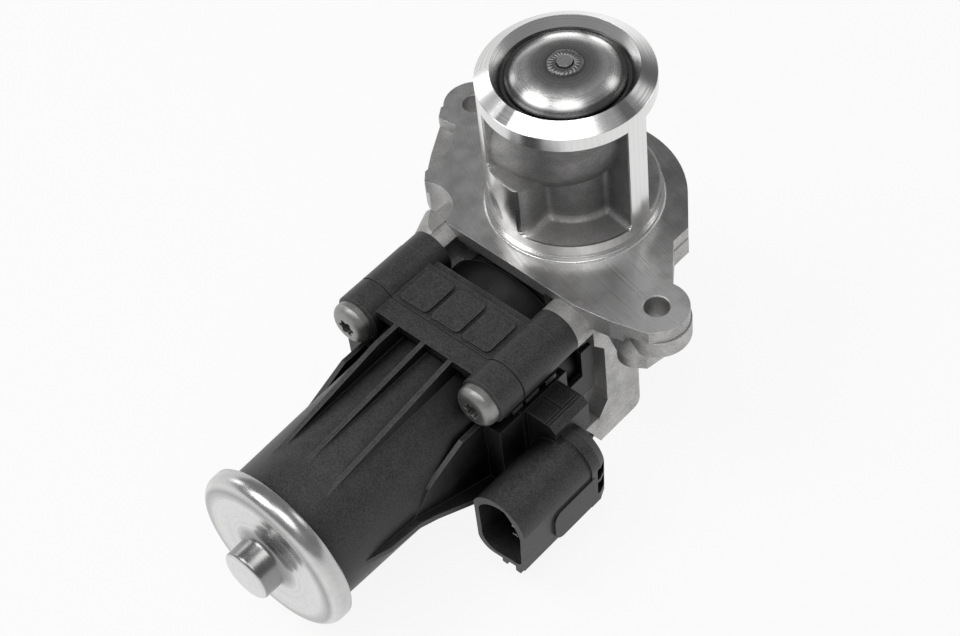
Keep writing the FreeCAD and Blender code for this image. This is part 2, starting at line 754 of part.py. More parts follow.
def return_spring():
    """Closing spring between the casting and the plate. The helix is a chain of
    short straight runs with mitred joints."""
    low = SPRING_PLATE_Z + SPRING_WIRE_R + TOUCH_GAP
    high = SPRING_TOP_Z - SPRING_WIRE_R - TOUCH_GAP
    runs = int(SPRING_TURNS * SPRING_RUNS)
    points = []
    for index in range(runs + 1):
        x, y = polar(SPRING_MEAN_R, 360.0 * index / SPRING_RUNS)
        points.append(Vector(x, y, low + (high - low) * index / runs))
    path = Part.makePolygon(points)
    rim = [polar(SPRING_WIRE_R, 360.0 * corner / SPRING_SIDES) for corner in range(SPRING_SIDES + 1)]
    section = Part.makePolygon([points[0] + Vector(out, 0, up) for out, up in rim])
    return path.makePipeShell([section], True, False, 1)


def spring_plate():
    radius = SPRING_CHAMBER_R - SPRING_PLATE_GAP
    return ring_z(radius, STEM_R, SPRING_PLATE_Z - SPRING_PLATE_H, SPRING_PLATE_Z)


def crosshead():
    """Block on the stem that carries the roller pin towards the cam."""
    half = CROSSHEAD_W / 2
    nose_y = CAM_FACE_Y + 1.6
    block = box(-half, half, nose_y, half - 0.6, CROSSHEAD_BOTTOM_Z, CROSSHEAD_TOP_Z)
    edges = [edge for edge in block.Edges if edge.BoundBox.ZLength > 1]
    block = block.makeFillet(1.5, edges)
    stem_hole = rod_z(STEM_R, CROSSHEAD_BOTTOM_Z - 1, CROSSHEAD_TOP_Z + 1)
    return block.cut([stem_hole, rod_y(ROLLER_PIN_R, nose_y - 1, -STEM_R + 0.6, 0, PIN_Z)])


def roller_pin():
    """Pin pressed into the crosshead and against the stem."""
    head = ROLLER_PIN_R
    pin = rod_y(head, CAM_FACE_Y - ROLLER_W - 0.9, -STEM_R + 0.6, 0, PIN_Z)
    return pin.cut(rod_z(STEM_R, STEM_BOTTOM_Z, 0))


def cam_roller():
    y1 = CAM_FACE_Y - 0.6
    roller = rod_y(ROLLER_R, y1 - ROLLER_W, y1, 0, PIN_Z)
    return roller.cut(rod_y(ROLLER_PIN_R + RUNNING_GAP, y1 - ROLLER_W - 1, y1 + 1, 0, PIN_Z))


def lower_guide():
    """Plug in the bottom of the stem chamber with the stem's lower bore."""
    plug_top = BLOCK_BOTTOM_Z + LOWER_GUIDE_PLUG_H
    solid = merge([
        rod_z(SPRING_CHAMBER_R, BLOCK_BOTTOM_Z, plug_top),
        rod_z(LOWER_GUIDE_BOSS_R, plug_top, LOWER_GUIDE_TOP_Z),
    ])
    return solid.cut(rod_z(STEM_R + RUNNING_GAP, STEM_BOTTOM_Z - 4, LOWER_GUIDE_TOP_Z + 1))


# Spiral cam and planetary gears

def spiral(turn, offset):
    """Flat (x, z) point of the groove: its centre line moved sideways by offset.
    The roller is above the axis, so the line starts there and goes back
    against the cam's turn."""
    pitch = LIFT / math.radians(CAM_TURN)
    radius = CAM_START_R + pitch * math.radians(turn)
    angle = math.radians(90 + turn)
    out = (math.cos(angle), math.sin(angle))
    along = (-math.sin(angle), math.cos(angle))
    norm = math.hypot(radius, pitch)
    normal = ((out[0] * radius - along[0] * pitch) / norm, (out[1] * radius - along[1] * pitch) / norm)
    return (out[0] * radius + normal[0] * offset, AXIS_Z + out[1] * radius + normal[1] * offset)


def spiral_groove():
    """Cutter for the groove that the roller runs in."""
    half = ROLLER_R + GROOVE_GAP
    y0 = CAM_FACE_Y - GROOVE_DEPTH
    start = -GROOVE_OVERRUN
    end = CAM_TURN + GROOVE_OVERRUN
    steps = 16
    turns = [start + (end - start) * i / steps for i in range(steps + 1)]
    place = front(y0)
    walls = []
    for offset in (half, -half):
        curve = Part.BSplineCurve()
        curve.interpolate([place(*spiral(turn, offset)) for turn in turns])
        walls.append(curve.toShape())
    face_edges = [
        walls[0],
        Part.makeLine(place(*spiral(end, half)), place(*spiral(end, -half))),
        walls[1],
        Part.makeLine(place(*spiral(start, -half)), place(*spiral(start, half))),
    ]
    track = Part.Face(Part.Wire(Part.__sortEdges__(face_edges))).extrude(Vector(0, GROOVE_DEPTH + 1, 0))
    ends = []
    for turn in (start, end):
        x, z = spiral(turn, 0.0)
        ends.append(rod_y(half, y0, CAM_FACE_Y + 1, x, z))
    return merge([track] + ends)


def cam_wheel():
    """Wheel with the spiral groove in its face and pockets behind."""
    wheel = rod_y(CAM_R, CAM_BACK_Y, CAM_FACE_Y)
    hub_bore = rod_y(OUTPUT_R, CAM_BACK_Y - 1, CAM_BACK_Y + CAM_FLOOR * 0.6)
    return wheel.cut([spiral_groove(), hub_bore])


def involute(angle):
    return math.tan(angle) - angle


def tooth_angle(teeth, radius, thinning):
    """Half the angle that a tooth fills at a radius."""
    pitch_r = MODULE * teeth / 2
    base_r = pitch_r * math.cos(math.radians(PRESSURE_ANGLE))
    half = math.pi / (2 * teeth) - thinning / pitch_r
    flank = math.acos(min(1.0, base_r / max(radius, base_r)))
    return half + involute(math.radians(PRESSURE_ANGLE)) - involute(flank)


def gear_face(teeth, tip_r, root_r, thinning, first_tooth):
    """Flat gear outline of straight edges, with one tooth centred on first_tooth."""
    base_r = MODULE * teeth / 2 * math.cos(math.radians(PRESSURE_ANGLE))
    low = max(min(root_r, tip_r), base_r)
    high = max(root_r, tip_r)
    radii = [low, low + (high - low) * 0.35, low + (high - low) * 0.7, high]
    if low > min(root_r, tip_r):
        radii = [min(root_r, tip_r)] + radii
    points = []
    for tooth in range(teeth):
        centre = math.radians(first_tooth) + 2 * math.pi * tooth / teeth
        for radius in radii:
            points.append((radius, centre - tooth_angle(teeth, radius, thinning)))
        for radius in reversed(radii):
            points.append((radius, centre + tooth_angle(teeth, radius, thinning)))
    flat = [(r * math.cos(a), r * math.sin(a)) for r, a in points]
    return outline(flat, lambda x, z: Vector(x, GEAR_Y0, AXIS_Z + z))


def external_gear(teeth, first_tooth):
    pitch_r = MODULE * teeth / 2
    tip_r = pitch_r + ADDENDUM * MODULE
    root_r = pitch_r - ADDENDUM * MODULE - ROOT_GAP
    face = gear_face(teeth, tip_r, root_r, FLANK_THINNING, first_tooth)
    return face.extrude(Vector(0, GEAR_Y1 - GEAR_Y0, 0))


def sun_pinion():
    return external_gear(SUN_TEETH, 90.0).cut(rod_y(SHAFT_R, GEAR_Y0 - 1, GEAR_Y1 + 1))


def planet_gear(index):
    gear = external_gear(PLANET_TEETH, 90.0)
    gear = gear.cut(rod_y(PLANET_PIN_R + RUNNING_GAP, GEAR_Y0 - 1, GEAR_Y1 + 1))
    gear.translate(Vector(0, 0, GEAR_CENTRES))
    gear.rotate(Vector(0, 0, AXIS_Z), Vector(0, 1, 0), -360.0 / PLANETS * index)
    return gear


def ring_gear():
    """Internal gear: its tooth spaces are an external outline cut out of a ring."""
    pitch_r = MODULE * RING_TEETH / 2
    tip_r = pitch_r - ADDENDUM * MODULE
    root_r = pitch_r + ADDENDUM * MODULE + ROOT_GAP
    spaces = gear_face(RING_TEETH, root_r, tip_r, -FLANK_THINNING, 90.0)
    spaces = spaces.extrude(Vector(0, GEAR_Y1 - GEAR_Y0, 0))
    return rod_y(GEAR_CAVITY_R, GEAR_Y0, GEAR_Y1).cut(spaces)


def planet_pins():
    pins = []
    for index in range(PLANETS):
        pin = rod_y(PLANET_PIN_R, GEAR_Y0, CARRIER_Y0, 0, AXIS_Z + GEAR_CENTRES)
        pin.rotate(Vector(0, 0, AXIS_Z), Vector(0, 1, 0), -360.0 / PLANETS * index)
        pins.append(pin)
    return Part.makeCompound(pins)


def carrier():
    """Planet carrier and output shaft in one turned piece."""
    return merge([
        rod_y(CARRIER_R, CARRIER_Y0, CARRIER_Y1),
        rod_y(OUTPUT_R, CARRIER_Y1, CAM_BACK_Y + CAM_FLOOR * 0.6),
    ])


def output_bush():
    return ring_y(OUTPUT_BUSH_R, OUTPUT_R + RUNNING_GAP, COVER_TIP_Y - OUTPUT_BUSH_H, COVER_TIP_Y)


# Motor

def rotor_shaft():
    return rod_y(SHAFT_R, STUB_END_Y + CAP_WALL + 0.6, GEAR_Y1)


def rotor_core():
    """Slotted lamination stack."""
    outer_r = CAN_R - CAN_WALL - MAGNET_WALL - AIR_GAP
    core = ring_y(outer_r, SHAFT_R, CORE_Y0, CORE_Y1)
    slot = rod_y(outer_r * 0.2, CORE_Y0 - 1, CORE_Y1 + 1, outer_r * 0.68)
    mouth = box(outer_r * 0.68, outer_r + 1, CORE_Y0 - 1, CORE_Y1 + 1, AXIS_Z - 0.9, AXIS_Z + 0.9)
    cuts = []
    for index in range(CORE_SLOTS):
        cut = merge([slot, mouth])
        cut.rotate(Vector(0, 0, AXIS_Z), Vector(0, 1, 0), 360.0 / CORE_SLOTS * index)
        cuts.append(cut)
    return core.cut(cuts)


def rotor_windings():
    """Copper coils: a rod in each slot and a crown at both ends of the stack."""
    outer_r = CAN_R - CAN_WALL - MAGNET_WALL - AIR_GAP
    coil_r = outer_r * 0.2
    crown_r = outer_r * 0.68 + coil_r + 0.5
    crown = ring_y(crown_r, SHAFT_R + 1.5, CORE_Y0 - CROWN_H, CORE_Y0)
    crown_front = ring_y(crown_r, SHAFT_R + 1.5, CORE_Y1, CORE_Y1 + CROWN_H)
    rods = []
    for index in range(CORE_SLOTS):
        rod = rod_y(coil_r, CORE_Y0, CORE_Y1, outer_r * 0.68)
        rod.rotate(Vector(0, 0, AXIS_Z), Vector(0, 1, 0), 360.0 / CORE_SLOTS * index)
        rods.append(rod)
    return merge([crown, crown_front] + rods)


def commutator():
    return ring_y(COMMUTATOR_R, SHAFT_R, CORE_Y1 + CROWN_H, CORE_Y1 + CROWN_H + COMMUTATOR_L)


def motor_can():
    """Drawn steel can, open at the cap end."""
    tube = ring_y(CAN_R, CAN_R - CAN_WALL, CAN_END_Y, CAN_FRONT_Y)
    end = ring_y(CAN_R, BEARING_R, CAN_FRONT_Y, CAN_FRONT_Y + CAN_WALL)
    return merge([tube, end])


def magnets():
    """Two arc magnets on the wall of the can."""
    ring = ring_y(CAN_R - CAN_WALL, CAN_R - CAN_WALL - MAGNET_WALL, CORE_Y0 - 4, CORE_Y1 + 4)
    gap = box(-2.5, 2.5, CORE_Y0 - 9, CORE_Y1 + 9, AXIS_Z - CAN_R - 1, AXIS_Z + CAN_R + 1)
    return ring.cut(gap)


def brush_plate_y():
    return CORE_Y1 + CROWN_H * 2 + COMMUTATOR_L


def brush_block(x0, x1, y0, wall):
    """Square bar along X where a brush lies, and a mirrored one opposite."""
    half = BRUSH_W / 2 + wall
    y1 = y0 - BRUSH_BOX_WALL
    bar = box(x0, x1, y1 - BRUSH_W - wall, y1 + wall, AXIS_Z - half, AXIS_Z + half)
    return [bar, mirrored(bar, Vector(1, 0, 0))]


def brush_holder():
    """Round plate with two boxes that hold the brushes."""
    y0 = brush_plate_y()
    x0 = COMMUTATOR_R + 1.6
    x1 = x0 + BRUSH_BOX_L
    plate = ring_y(CAN_R - CAN_WALL, COMMUTATOR_R + 1.0, y0, y0 + BRUSH_PLATE_H)
    body = merge([plate] + brush_block(x0, x1, y0, BRUSH_BOX_WALL))
    return body.cut(brush_block(x0 - 1, x1 + 1, y0, 0.0))


def brushes():
    x0 = COMMUTATOR_R + TOUCH_GAP
    return Part.makeCompound(brush_block(x0, x0 + BRUSH_L, brush_plate_y(), 0.0))


def rear_bearing():
    y0 = STUB_END_Y + CAP_WALL + BEARING_PLAY
    return ring_y(BEARING_R, SHAFT_R + RUNNING_GAP, y0, y0 + BEARING_L)


def front_bearing():
    return ring_y(BEARING_R, SHAFT_R + RUNNING_GAP, CAN_FRONT_Y - BEARING_TAIL, CAN_FRONT_Y + CAN_WALL)


def motor_cap():
    """Drawn steel cap that closes the motor, with the bearing stub."""
    skirt_y = CAP_FACE_Y + CAP_SKIRT_H
    edge = CAP_EDGE_R * 0.29
    inner_face = CAP_FACE_Y + CAP_WALL
    return turned_y([
        (STUB_END_Y, 0.0), (STUB_END_Y, STUB_R - 0.9),
        ((STUB_END_Y + 0.25, STUB_R - 0.25), (STUB_END_Y + 0.9, STUB_R)),
        (CAP_FACE_Y - STUB_COLLAR_H, STUB_R), (CAP_FACE_Y - STUB_COLLAR_H, STUB_R + STUB_COLLAR_W),
        (CAP_FACE_Y, STUB_R + STUB_COLLAR_W), (CAP_FACE_Y, CAP_R - CAP_EDGE_R),
        ((CAP_FACE_Y + edge, CAP_R - edge), (CAP_FACE_Y + CAP_EDGE_R, CAP_R)),
        (skirt_y, CAP_R), (skirt_y, TUBE_FLANGE_R), (TUBE_END_Y, TUBE_FLANGE_R),
        (inner_face, TUBE_FLANGE_R - 0.4), (inner_face, BEARING_R),
        (STUB_END_Y + CAP_WALL, BEARING_R), (STUB_END_Y + CAP_WALL, 0.0),
    ])


# Black mouldings

def housing_section(y0, y1, boss_r, inset=0.0):
    """Prism of the common outline of the mouldings: two panels, two side plates
    and four round bosses."""
    rise = PANEL_RISE - inset
    plate_x = SIDE_PLATE_X - inset
    tall = box(-SCREW_X, SCREW_X, y0, y1, AXIS_Z - rise, AXIS_Z + rise)
    wide = box(-plate_x, plate_x, y0, y1, AXIS_Z - SIDE_PLATE_HALF_H, AXIS_Z + SIDE_PLATE_HALF_H)
    fill = box(-SCREW_X - 3, SCREW_X + 3, y0, y1, AXIS_Z - SCREW_Z, AXIS_Z + SCREW_Z)
    bosses = [rod_y(boss_r - inset, y0, y1, x, z) for x, z in screw_points()]
    return merge([tall, wide, fill] + bosses)


def housing_root():
    """End of the motor housing at the gears: thin panels that stand free of the
    tube, thicker side plates and bosses with a bevelled front."""
    y0, y1 = HEAD_SEAT_Y, HOUSING_SEAM_Y
    pieces = [
        box(-SIDE_PLATE_X, SIDE_PLATE_X, y0, y1, AXIS_Z - SIDE_PLATE_HALF_H, AXIS_Z + SIDE_PLATE_HALF_H),
        box(-SCREW_X - 3, SCREW_X + 3, FILL_EDGE_Y, y1, AXIS_Z - SCREW_Z, AXIS_Z + SCREW_Z),
        rod_y(TUBE_ROOT_R, y0, y1),
    ]
    for low in (AXIS_Z - PANEL_RISE, AXIS_Z + PANEL_RISE - MOULD_WALL):
        pieces.append(box(-SCREW_X, SCREW_X, PANEL_EDGE_Y, y1, low, low + MOULD_WALL))
        pieces.append(box(-SCREW_X, SCREW_X, FILL_EDGE_Y, y1, low - MOULD_WALL, low + 2 * MOULD_WALL)
                      .common(box(-SCREW_X, SCREW_X, y0, y1, AXIS_Z - PANEL_RISE, AXIS_Z + PANEL_RISE)))
    for x, z in screw_points():
        bevel = Part.makeCone(BOSS_R - BOSS_CHAMFER, BOSS_R, BOSS_CHAMFER, Vector(x, y0, z), Vector(0, 1, 0))
        pieces += [bevel, rod_y(BOSS_R, y0 + BOSS_CHAMFER, y1, x, z)]
    return merge(pieces)


def screw_holes(y0, y1):
    radius = SCREW_R + SCREW_CLEARANCE
    return [rod_y(radius, y0 - 1, y1 + 1, x, z) for x, z in screw_points()]


def tube_r(y):
    """Radius of the drafted motor tube."""
    part = (y - TUBE_END_Y) / (HEAD_SEAT_Y - TUBE_END_Y)
    return TUBE_END_R + (TUBE_ROOT_R - TUBE_END_R) * part


def long_rib(x):
    """Upright rib from under the panel down to the tube. The one on the left
    stays level with the panel up to its bend."""
    tip_z = AXIS_Z + math.sqrt(tube_r(RIB_TIP_Y) ** 2 - x ** 2)
    bend_y = RIB_LEVEL_Y if x < 0 else PANEL_EDGE_Y
    face = outline(
        [(RIB_TIP_Y, tip_z - 0.3), (bend_y, PANEL_Z), (HOUSING_SEAM_Y, PANEL_Z),
         (HOUSING_SEAM_Y, tip_z - 4), (RIB_TIP_Y, tip_z - 4)],
        side(x - RIB_W / 2),
    )
    return face.extrude(Vector(RIB_W, 0, 0))


def side_web():
    """Web beside the tube that carries the upper boss down to the side rib."""
    face = outline(
        [(HEAD_SEAT_Y + 2, AXIS_Z + 11.8), (-70.0, AXIS_Z + 11.8), (-83.5, AXIS_Z + 6.2),
         (SIDE_RIB_BEND_Y, AXIS_Z), (HEAD_SEAT_Y + 2, AXIS_Z - 12.0)],
        side(SIDE_WEB_X - RIB_W),
    )
    return face.extrude(Vector(RIB_W, 0, 0))


def side_rib():
    """Rib along the side of the tube that drops towards the lower boss."""
    strip = outline(
        [(SIDE_RIB_Y, AXIS_Z + 0.8), (SIDE_RIB_BEND_Y, AXIS_Z + 0.2), (HEAD_SEAT_Y + 2, AXIS_Z - 11.6),
         (HEAD_SEAT_Y + 2, AXIS_Z - 13.4), (SIDE_RIB_BEND_Y - 0.4, AXIS_Z - 1.5), (SIDE_RIB_Y, AXIS_Z - 0.8)],
        side(TUBE_END_R - 4),
    ).extrude(Vector(14, 0, 0))
    span = outline(
        [(0.0, SIDE_RIB_Y), (20.6, SIDE_RIB_Y), (22.9, SIDE_RIB_Y + 8.0), (23.8, -84.0), (26.0, -70.0),
         (SIDE_PLATE_X - 0.4, HEAD_SEAT_Y + 2), (0.0, HEAD_SEAT_Y + 2)],
        plan(AXIS_Z - 20),
    ).extrude(Vector(0, 0, 40))
    return strip.common(span)


def motor_housing():
    """Ribbed tube with its mounting section."""
    tube = Part.makeCone(
        TUBE_END_R, TUBE_ROOT_R, HEAD_SEAT_Y - TUBE_END_Y, Vector(0, TUBE_END_Y, AXIS_Z), Vector(0, 1, 0)
    )
    end = rod_y(TUBE_FLANGE_R, TUBE_END_Y, TUBE_END_Y + TUBE_FLANGE_H)
    flip = Vector(0, 0, 1)
    ribs = []
    for x in (-RIB_X, 0.0, RIB_X):
        rib = long_rib(x)
        ribs.append(rib)
        ribs.append(rib.mirror(Vector(0, 0, AXIS_Z), flip))
    for shape in (side_web(), side_rib()):
        ribs.append(shape)
        ribs.append(mirrored(shape, Vector(1, 0, 0)))
    body = merge([tube, end, housing_root()] + ribs)
    motor_bore = rod_y(CAN_R, TUBE_END_Y - 1, CAN_FRONT_Y + CAN_WALL)
    shaft_hole = rod_y(BEARING_R, CAN_FRONT_Y, HOUSING_SEAM_Y + 1)
    return body.cut([motor_bore, shaft_hole] + screw_holes(HEAD_SEAT_Y, HOUSING_SEAM_Y))


def socket_outline(inset, y):
    """Outline of the connector, seen from its mouth: flat on the left, with one
    large curve over the top into the right side and a rounded foot."""
    left = SOCKET_LEFT_X + inset
    right = SOCKET_RIGHT_X - inset
    top = SOCKET_TOP_Z - inset
    bottom = SOCKET_BOTTOM_Z + inset
    return outline(
        [(left, bottom + 4.0), (left, top - 5.8),
         ((left + 3.6, top - 1.5), (left + 9.2, top)),
         ((right - 2.4, top - 2.6), (right, top - 8.0)),
         (right - 0.6, bottom + 3.4),
         ((right - 1.3, bottom + 1.5), (right - 3.6, bottom + 0.9)),
         (left + 5.0, bottom),
         ((left + 1.5, bottom + 1.2), (left, bottom + 4.0))],
        front(y),
    )


def socket_prism(inset, y0, y1):
    return socket_outline(inset, y0).extrude(Vector(0, y1 - y0, 0))


def terminal_boxes(y0, y1):
    middle_x = (SOCKET_LEFT_X + SOCKET_RIGHT_X) / 2
    middle_z = (SOCKET_TOP_Z + SOCKET_BOTTOM_Z) / 2
    blades = []
    for index in range(TERMINALS):
        z = middle_z + (index - (TERMINALS - 1) / 2) * TERMINAL_PITCH
        blades.append(box(middle_x - TERMINAL_W / 2, middle_x + TERMINAL_W / 2, y0, y1,
                          z - TERMINAL_T / 2, z + TERMINAL_T / 2))
    return blades


def socket_floor_y():
    return SOCKET_MOUTH_Y + SOCKET_DEPTH


def connector_terminals():
    return Part.makeCompound(terminal_boxes(SOCKET_MOUTH_Y + 5, socket_floor_y() + 6))


def socket_end():
    """Thicker end of the connector, rounded off in two bevels at its back."""
    y0 = SOCKET_COLLAR_Y
    y1 = SOCKET_BACK_Y
    sections = [
        socket_outline(-SOCKET_COLLAR, y1 - 4.0), socket_outline(0.4, y1 - 1.6), socket_outline(3.0, y1),
    ]
    taper = Part.makeLoft([section.OuterWire for section in sections], True, True)
    return merge([socket_prism(-SOCKET_COLLAR, y0, y1 - 4.0), taper])


def socket_pockets():
    """Two cored pockets in the right side of the connector's end."""
    x0 = SOCKET_RIGHT_X - SOCKET_POCKET_DEPTH
    x1 = SOCKET_RIGHT_X + SOCKET_POCKET_DEPTH
    y0 = SOCKET_COLLAR_Y + 2.0
    return [box(x0, x1, y0, SOCKET_BACK_Y - 1.6, z0, z1) for z0, z1 in SOCKET_POCKETS]


def socket_pad():
    """Raised pad on the right side with a rounded front end."""
    x0 = SOCKET_RIGHT_X - 1.5
    pad = box(x0, SOCKET_RIGHT_X + SOCKET_PAD_H, SOCKET_PAD_FRONT_Y, SOCKET_COLLAR_Y + 1,
              SOCKET_PAD_BOTTOM_Z, SOCKET_PAD_TOP_Z)
    edges = [
        edge for edge in pad.Edges
        if edge.BoundBox.XLength > 1 and edge.BoundBox.YMax < SOCKET_PAD_FRONT_Y + 1
    ]
    return pad.makeFillet(3.0, edges)


def connector_shell():
    """Outside of the connector with its root, the latch block and the feet."""
    shell = socket_prism(0.0, SOCKET_MOUTH_Y, SOCKET_COLLAR_Y + 1)
    latch = box(SIDE_PLATE_X, LATCH_RIGHT_X, LATCH_FRONT_Y, COVER_SEAM_Y - 0.4, SOCKET_TOP_Z - 4, LATCH_TOP_Z)
    latch_edge = [
        edge for edge in latch.Edges
        if edge.BoundBox.YLength > 1 and edge.BoundBox.XMin > LATCH_RIGHT_X - 1
        and edge.BoundBox.ZMin > LATCH_TOP_Z - 1
    ]
    latch = latch.makeChamfer(LATCH_BEVEL, latch_edge)
    root = box(SIDE_PLATE_X - 2, SOCKET_LEFT_X + 6, LATCH_FRONT_Y, SOCKET_BACK_Y - 0.5,
               SOCKET_BOTTOM_Z + 3, LATCH_TOP_Z - 0.4)
    feet = []
    for x0 in FOOT_X:
        feet.append(box(x0, x0 + FOOT_W, SOCKET_MOUTH_Y, SOCKET_PAD_FRONT_Y, SOCKET_BOTTOM_Z - FOOT_H,
                        SOCKET_BOTTOM_Z + SOCKET_WALL))
    return merge([shell, socket_end(), socket_pad(), latch, root] + feet).cut(socket_pockets())


def top_panel():
    """Raised plain fields on the upper panel, with narrow grooves between."""
    fields = []
    for x0, x1 in ((-15.0, -5.6), (-4.2, 5.2), (6.6, 15.6)):
        field = box(x0, x1, COVER_SEAM_Y - 13.5, COVER_SEAM_Y - 2.0, PANEL_Z - 1, PANEL_Z + 0.7)
        edges = [edge for edge in field.Edges if edge.BoundBox.ZLength > 1]
        fields.append(field.makeFillet(1.4, edges))
    return fields


def gear_housing():
    """Moulding round the gears, with the connector on its side."""
    step_y = HOUSING_SEAM_Y + SEAM_STEP_H
    lip = housing_section(HOUSING_SEAM_Y, step_y, BOSS_R, SEAM_STEP)
    shell = housing_section(step_y, COVER_SEAM_Y, BOSS_R)
    body = merge([lip, shell, connector_shell()] + top_panel())
    cavity = rod_y(GEAR_CAVITY_R, GEAR_Y0, COVER_SEAM_Y + 1)
    neck = rod_y(MODULE * RING_TEETH / 2 - ADDENDUM * MODULE, HOUSING_SEAM_Y - 1, GEAR_Y0 + 1)
    socket = socket_prism(SOCKET_WALL, SOCKET_MOUTH_Y - 1, socket_floor_y())
    cuts = [cavity, neck, socket, housing_seal()] + terminal_boxes(socket_floor_y() - 1, socket_floor_y() + 6)
    return body.cut(cuts + screw_holes(HOUSING_SEAM_Y, COVER_SEAM_Y))


def housing_seal():
    """Flat ring between the motor housing and the gear housing."""
    return ring_y(HOUSING_SEAL_R, HOUSING_SEAL_R - SEAL_W, HOUSING_SEAM_Y, HOUSING_SEAM_Y + SEAL_T)


def cover_seal():
    """Ring in the groove of the cover's spigot, against the casting's bore."""
    y1 = COVER_TIP_Y - SEAL_T
    return ring_y(COVER_SPIGOT_R, COVER_SPIGOT_R - SEAL_T, y1 - SEAL_W, y1)


def gear_cover():
    """Rear moulding: a drum with its spigot in the casting, four short sleeves
    and an ear in the notch on each side."""
    drum = merge([
        rod_y(COVER_DRUM_R, COVER_SEAM_Y, COVER_DRUM_END_Y),
        rod_y(COVER_SPIGOT_R, COVER_DRUM_END_Y, COVER_TIP_Y),
    ])
    low, top = AXIS_Z - EAR_BOTTOM, AXIS_Z + EAR_TOP
    arm_z, arm_y = AXIS_Z + EAR_ARM_TOP, EAR_TIP_Y - EAR_ARM_L
    ear = outline(
        [(COVER_SEAM_Y, low), (EAR_TIP_Y, low), (EAR_TIP_Y, top), (arm_y, top), (arm_y, arm_z),
         (COVER_SEAM_Y, arm_z)],
        side(EAR_X),
    ).extrude(Vector(EAR_W, 0, 0))
    sleeves = [rod_y(SLEEVE_R, COVER_SEAM_Y, BODY_BOSS_FRONT_Y, x, z) for x, z in screw_points()]
    flange = housing_section(COVER_SEAM_Y, COVER_SEAM_Y + MOULD_WALL, SLEEVE_R)
    trim = box(-SIDE_PLATE_X - 9, SIDE_PLATE_X + 9, COVER_SEAM_Y - 1, COVER_TIP_Y,
               AXIS_Z - PANEL_RISE + 1, AXIS_Z + PANEL_RISE - 1)
    flange = merge([flange.common(trim), ear, mirrored(ear, Vector(1, 0, 0))] + sleeves)
    floor_y = COVER_TIP_Y - COVER_FLOOR_DEPTH
    bush_y = COVER_TIP_Y - OUTPUT_BUSH_H
    pocket = rod_y(CARRIER_R + CARRIER_GAP, COVER_SEAM_Y - 1, floor_y)
    hollow = ring_y(COVER_SPIGOT_R - MOULD_WALL, OUTPUT_BUSH_R + MOULD_WALL,
                    COVER_TIP_Y - COVER_HOLLOW_DEPTH, COVER_TIP_Y + 1)
    shaft_hole = rod_y(OUTPUT_R + SHAFT_PASS_GAP, floor_y - 1, bush_y + 1)
    bush_seat = rod_y(OUTPUT_BUSH_R, bush_y, COVER_TIP_Y + 1)
    body = merge([drum, flange])
    cuts = [pocket, hollow, shaft_hole, bush_seat, cover_seal()]
    return body.cut(cuts + screw_holes(COVER_SEAM_Y, BODY_BOSS_FRONT_Y))


def sensor_magnet():
    y0 = CARRIER_Y1
    return ring_y(SENSOR_MAGNET_R, OUTPUT_R, y0, y0 + SENSOR_MAGNET_H)


def sensor_board():
    y1 = COVER_TIP_Y - COVER_FLOOR_DEPTH
    board = ring_y(CARRIER_R + CARRIER_GAP, SENSOR_MAGNET_R + CARRIER_GAP, y1 - SENSOR_BOARD_H, y1)
    half = SENSOR_BOARD_HALF_W
    return board.common(box(0, CARRIER_R * 2, y1 - SENSOR_BOARD_H, y1, AXIS_Z - half, AXIS_Z + half))


# Fasteners

def six_lobe(depth_y0, depth_y1, radius):
    """Six-lobe driver recess on the motor axis."""
    lobes = [rod_y(radius * 0.24, depth_y0, depth_y1, *lobe) for lobe in
             [(polar(radius * 0.76, 60 * i)[0], AXIS_Z + polar(radius * 0.76, 60 * i)[1]) for i in range(6)]]
    return merge([rod_y(radius * 0.74, depth_y0, depth_y1)] + lobes)


def housing_screws():
    """Four pan-head screws through the mouldings into the casting."""
    top_y = HEAD_SEAT_Y - HEAD_H
    head = turned_y([
        (top_y, 0.0), (top_y, HEAD_R * 0.52),
        ((top_y + HEAD_H * 0.16, HEAD_R * 0.84), (top_y + HEAD_H * 0.55, HEAD_R)),
        (HEAD_SEAT_Y, HEAD_R), (HEAD_SEAT_Y, 0.0),
    ])
    head = head.cut(six_lobe(top_y - 1, top_y + HEAD_RECESS_DEPTH, HEAD_RECESS_R))
    screws = []
    for x, z in screw_points():
        shank = rod_y(SCREW_R, HEAD_SEAT_Y, SCREW_TIP_Y)
        screw = merge([head, shank])
        screw.translate(Vector(x, 0, z - AXIS_Z))
        screws.append(screw)
    return Part.makeCompound(screws)


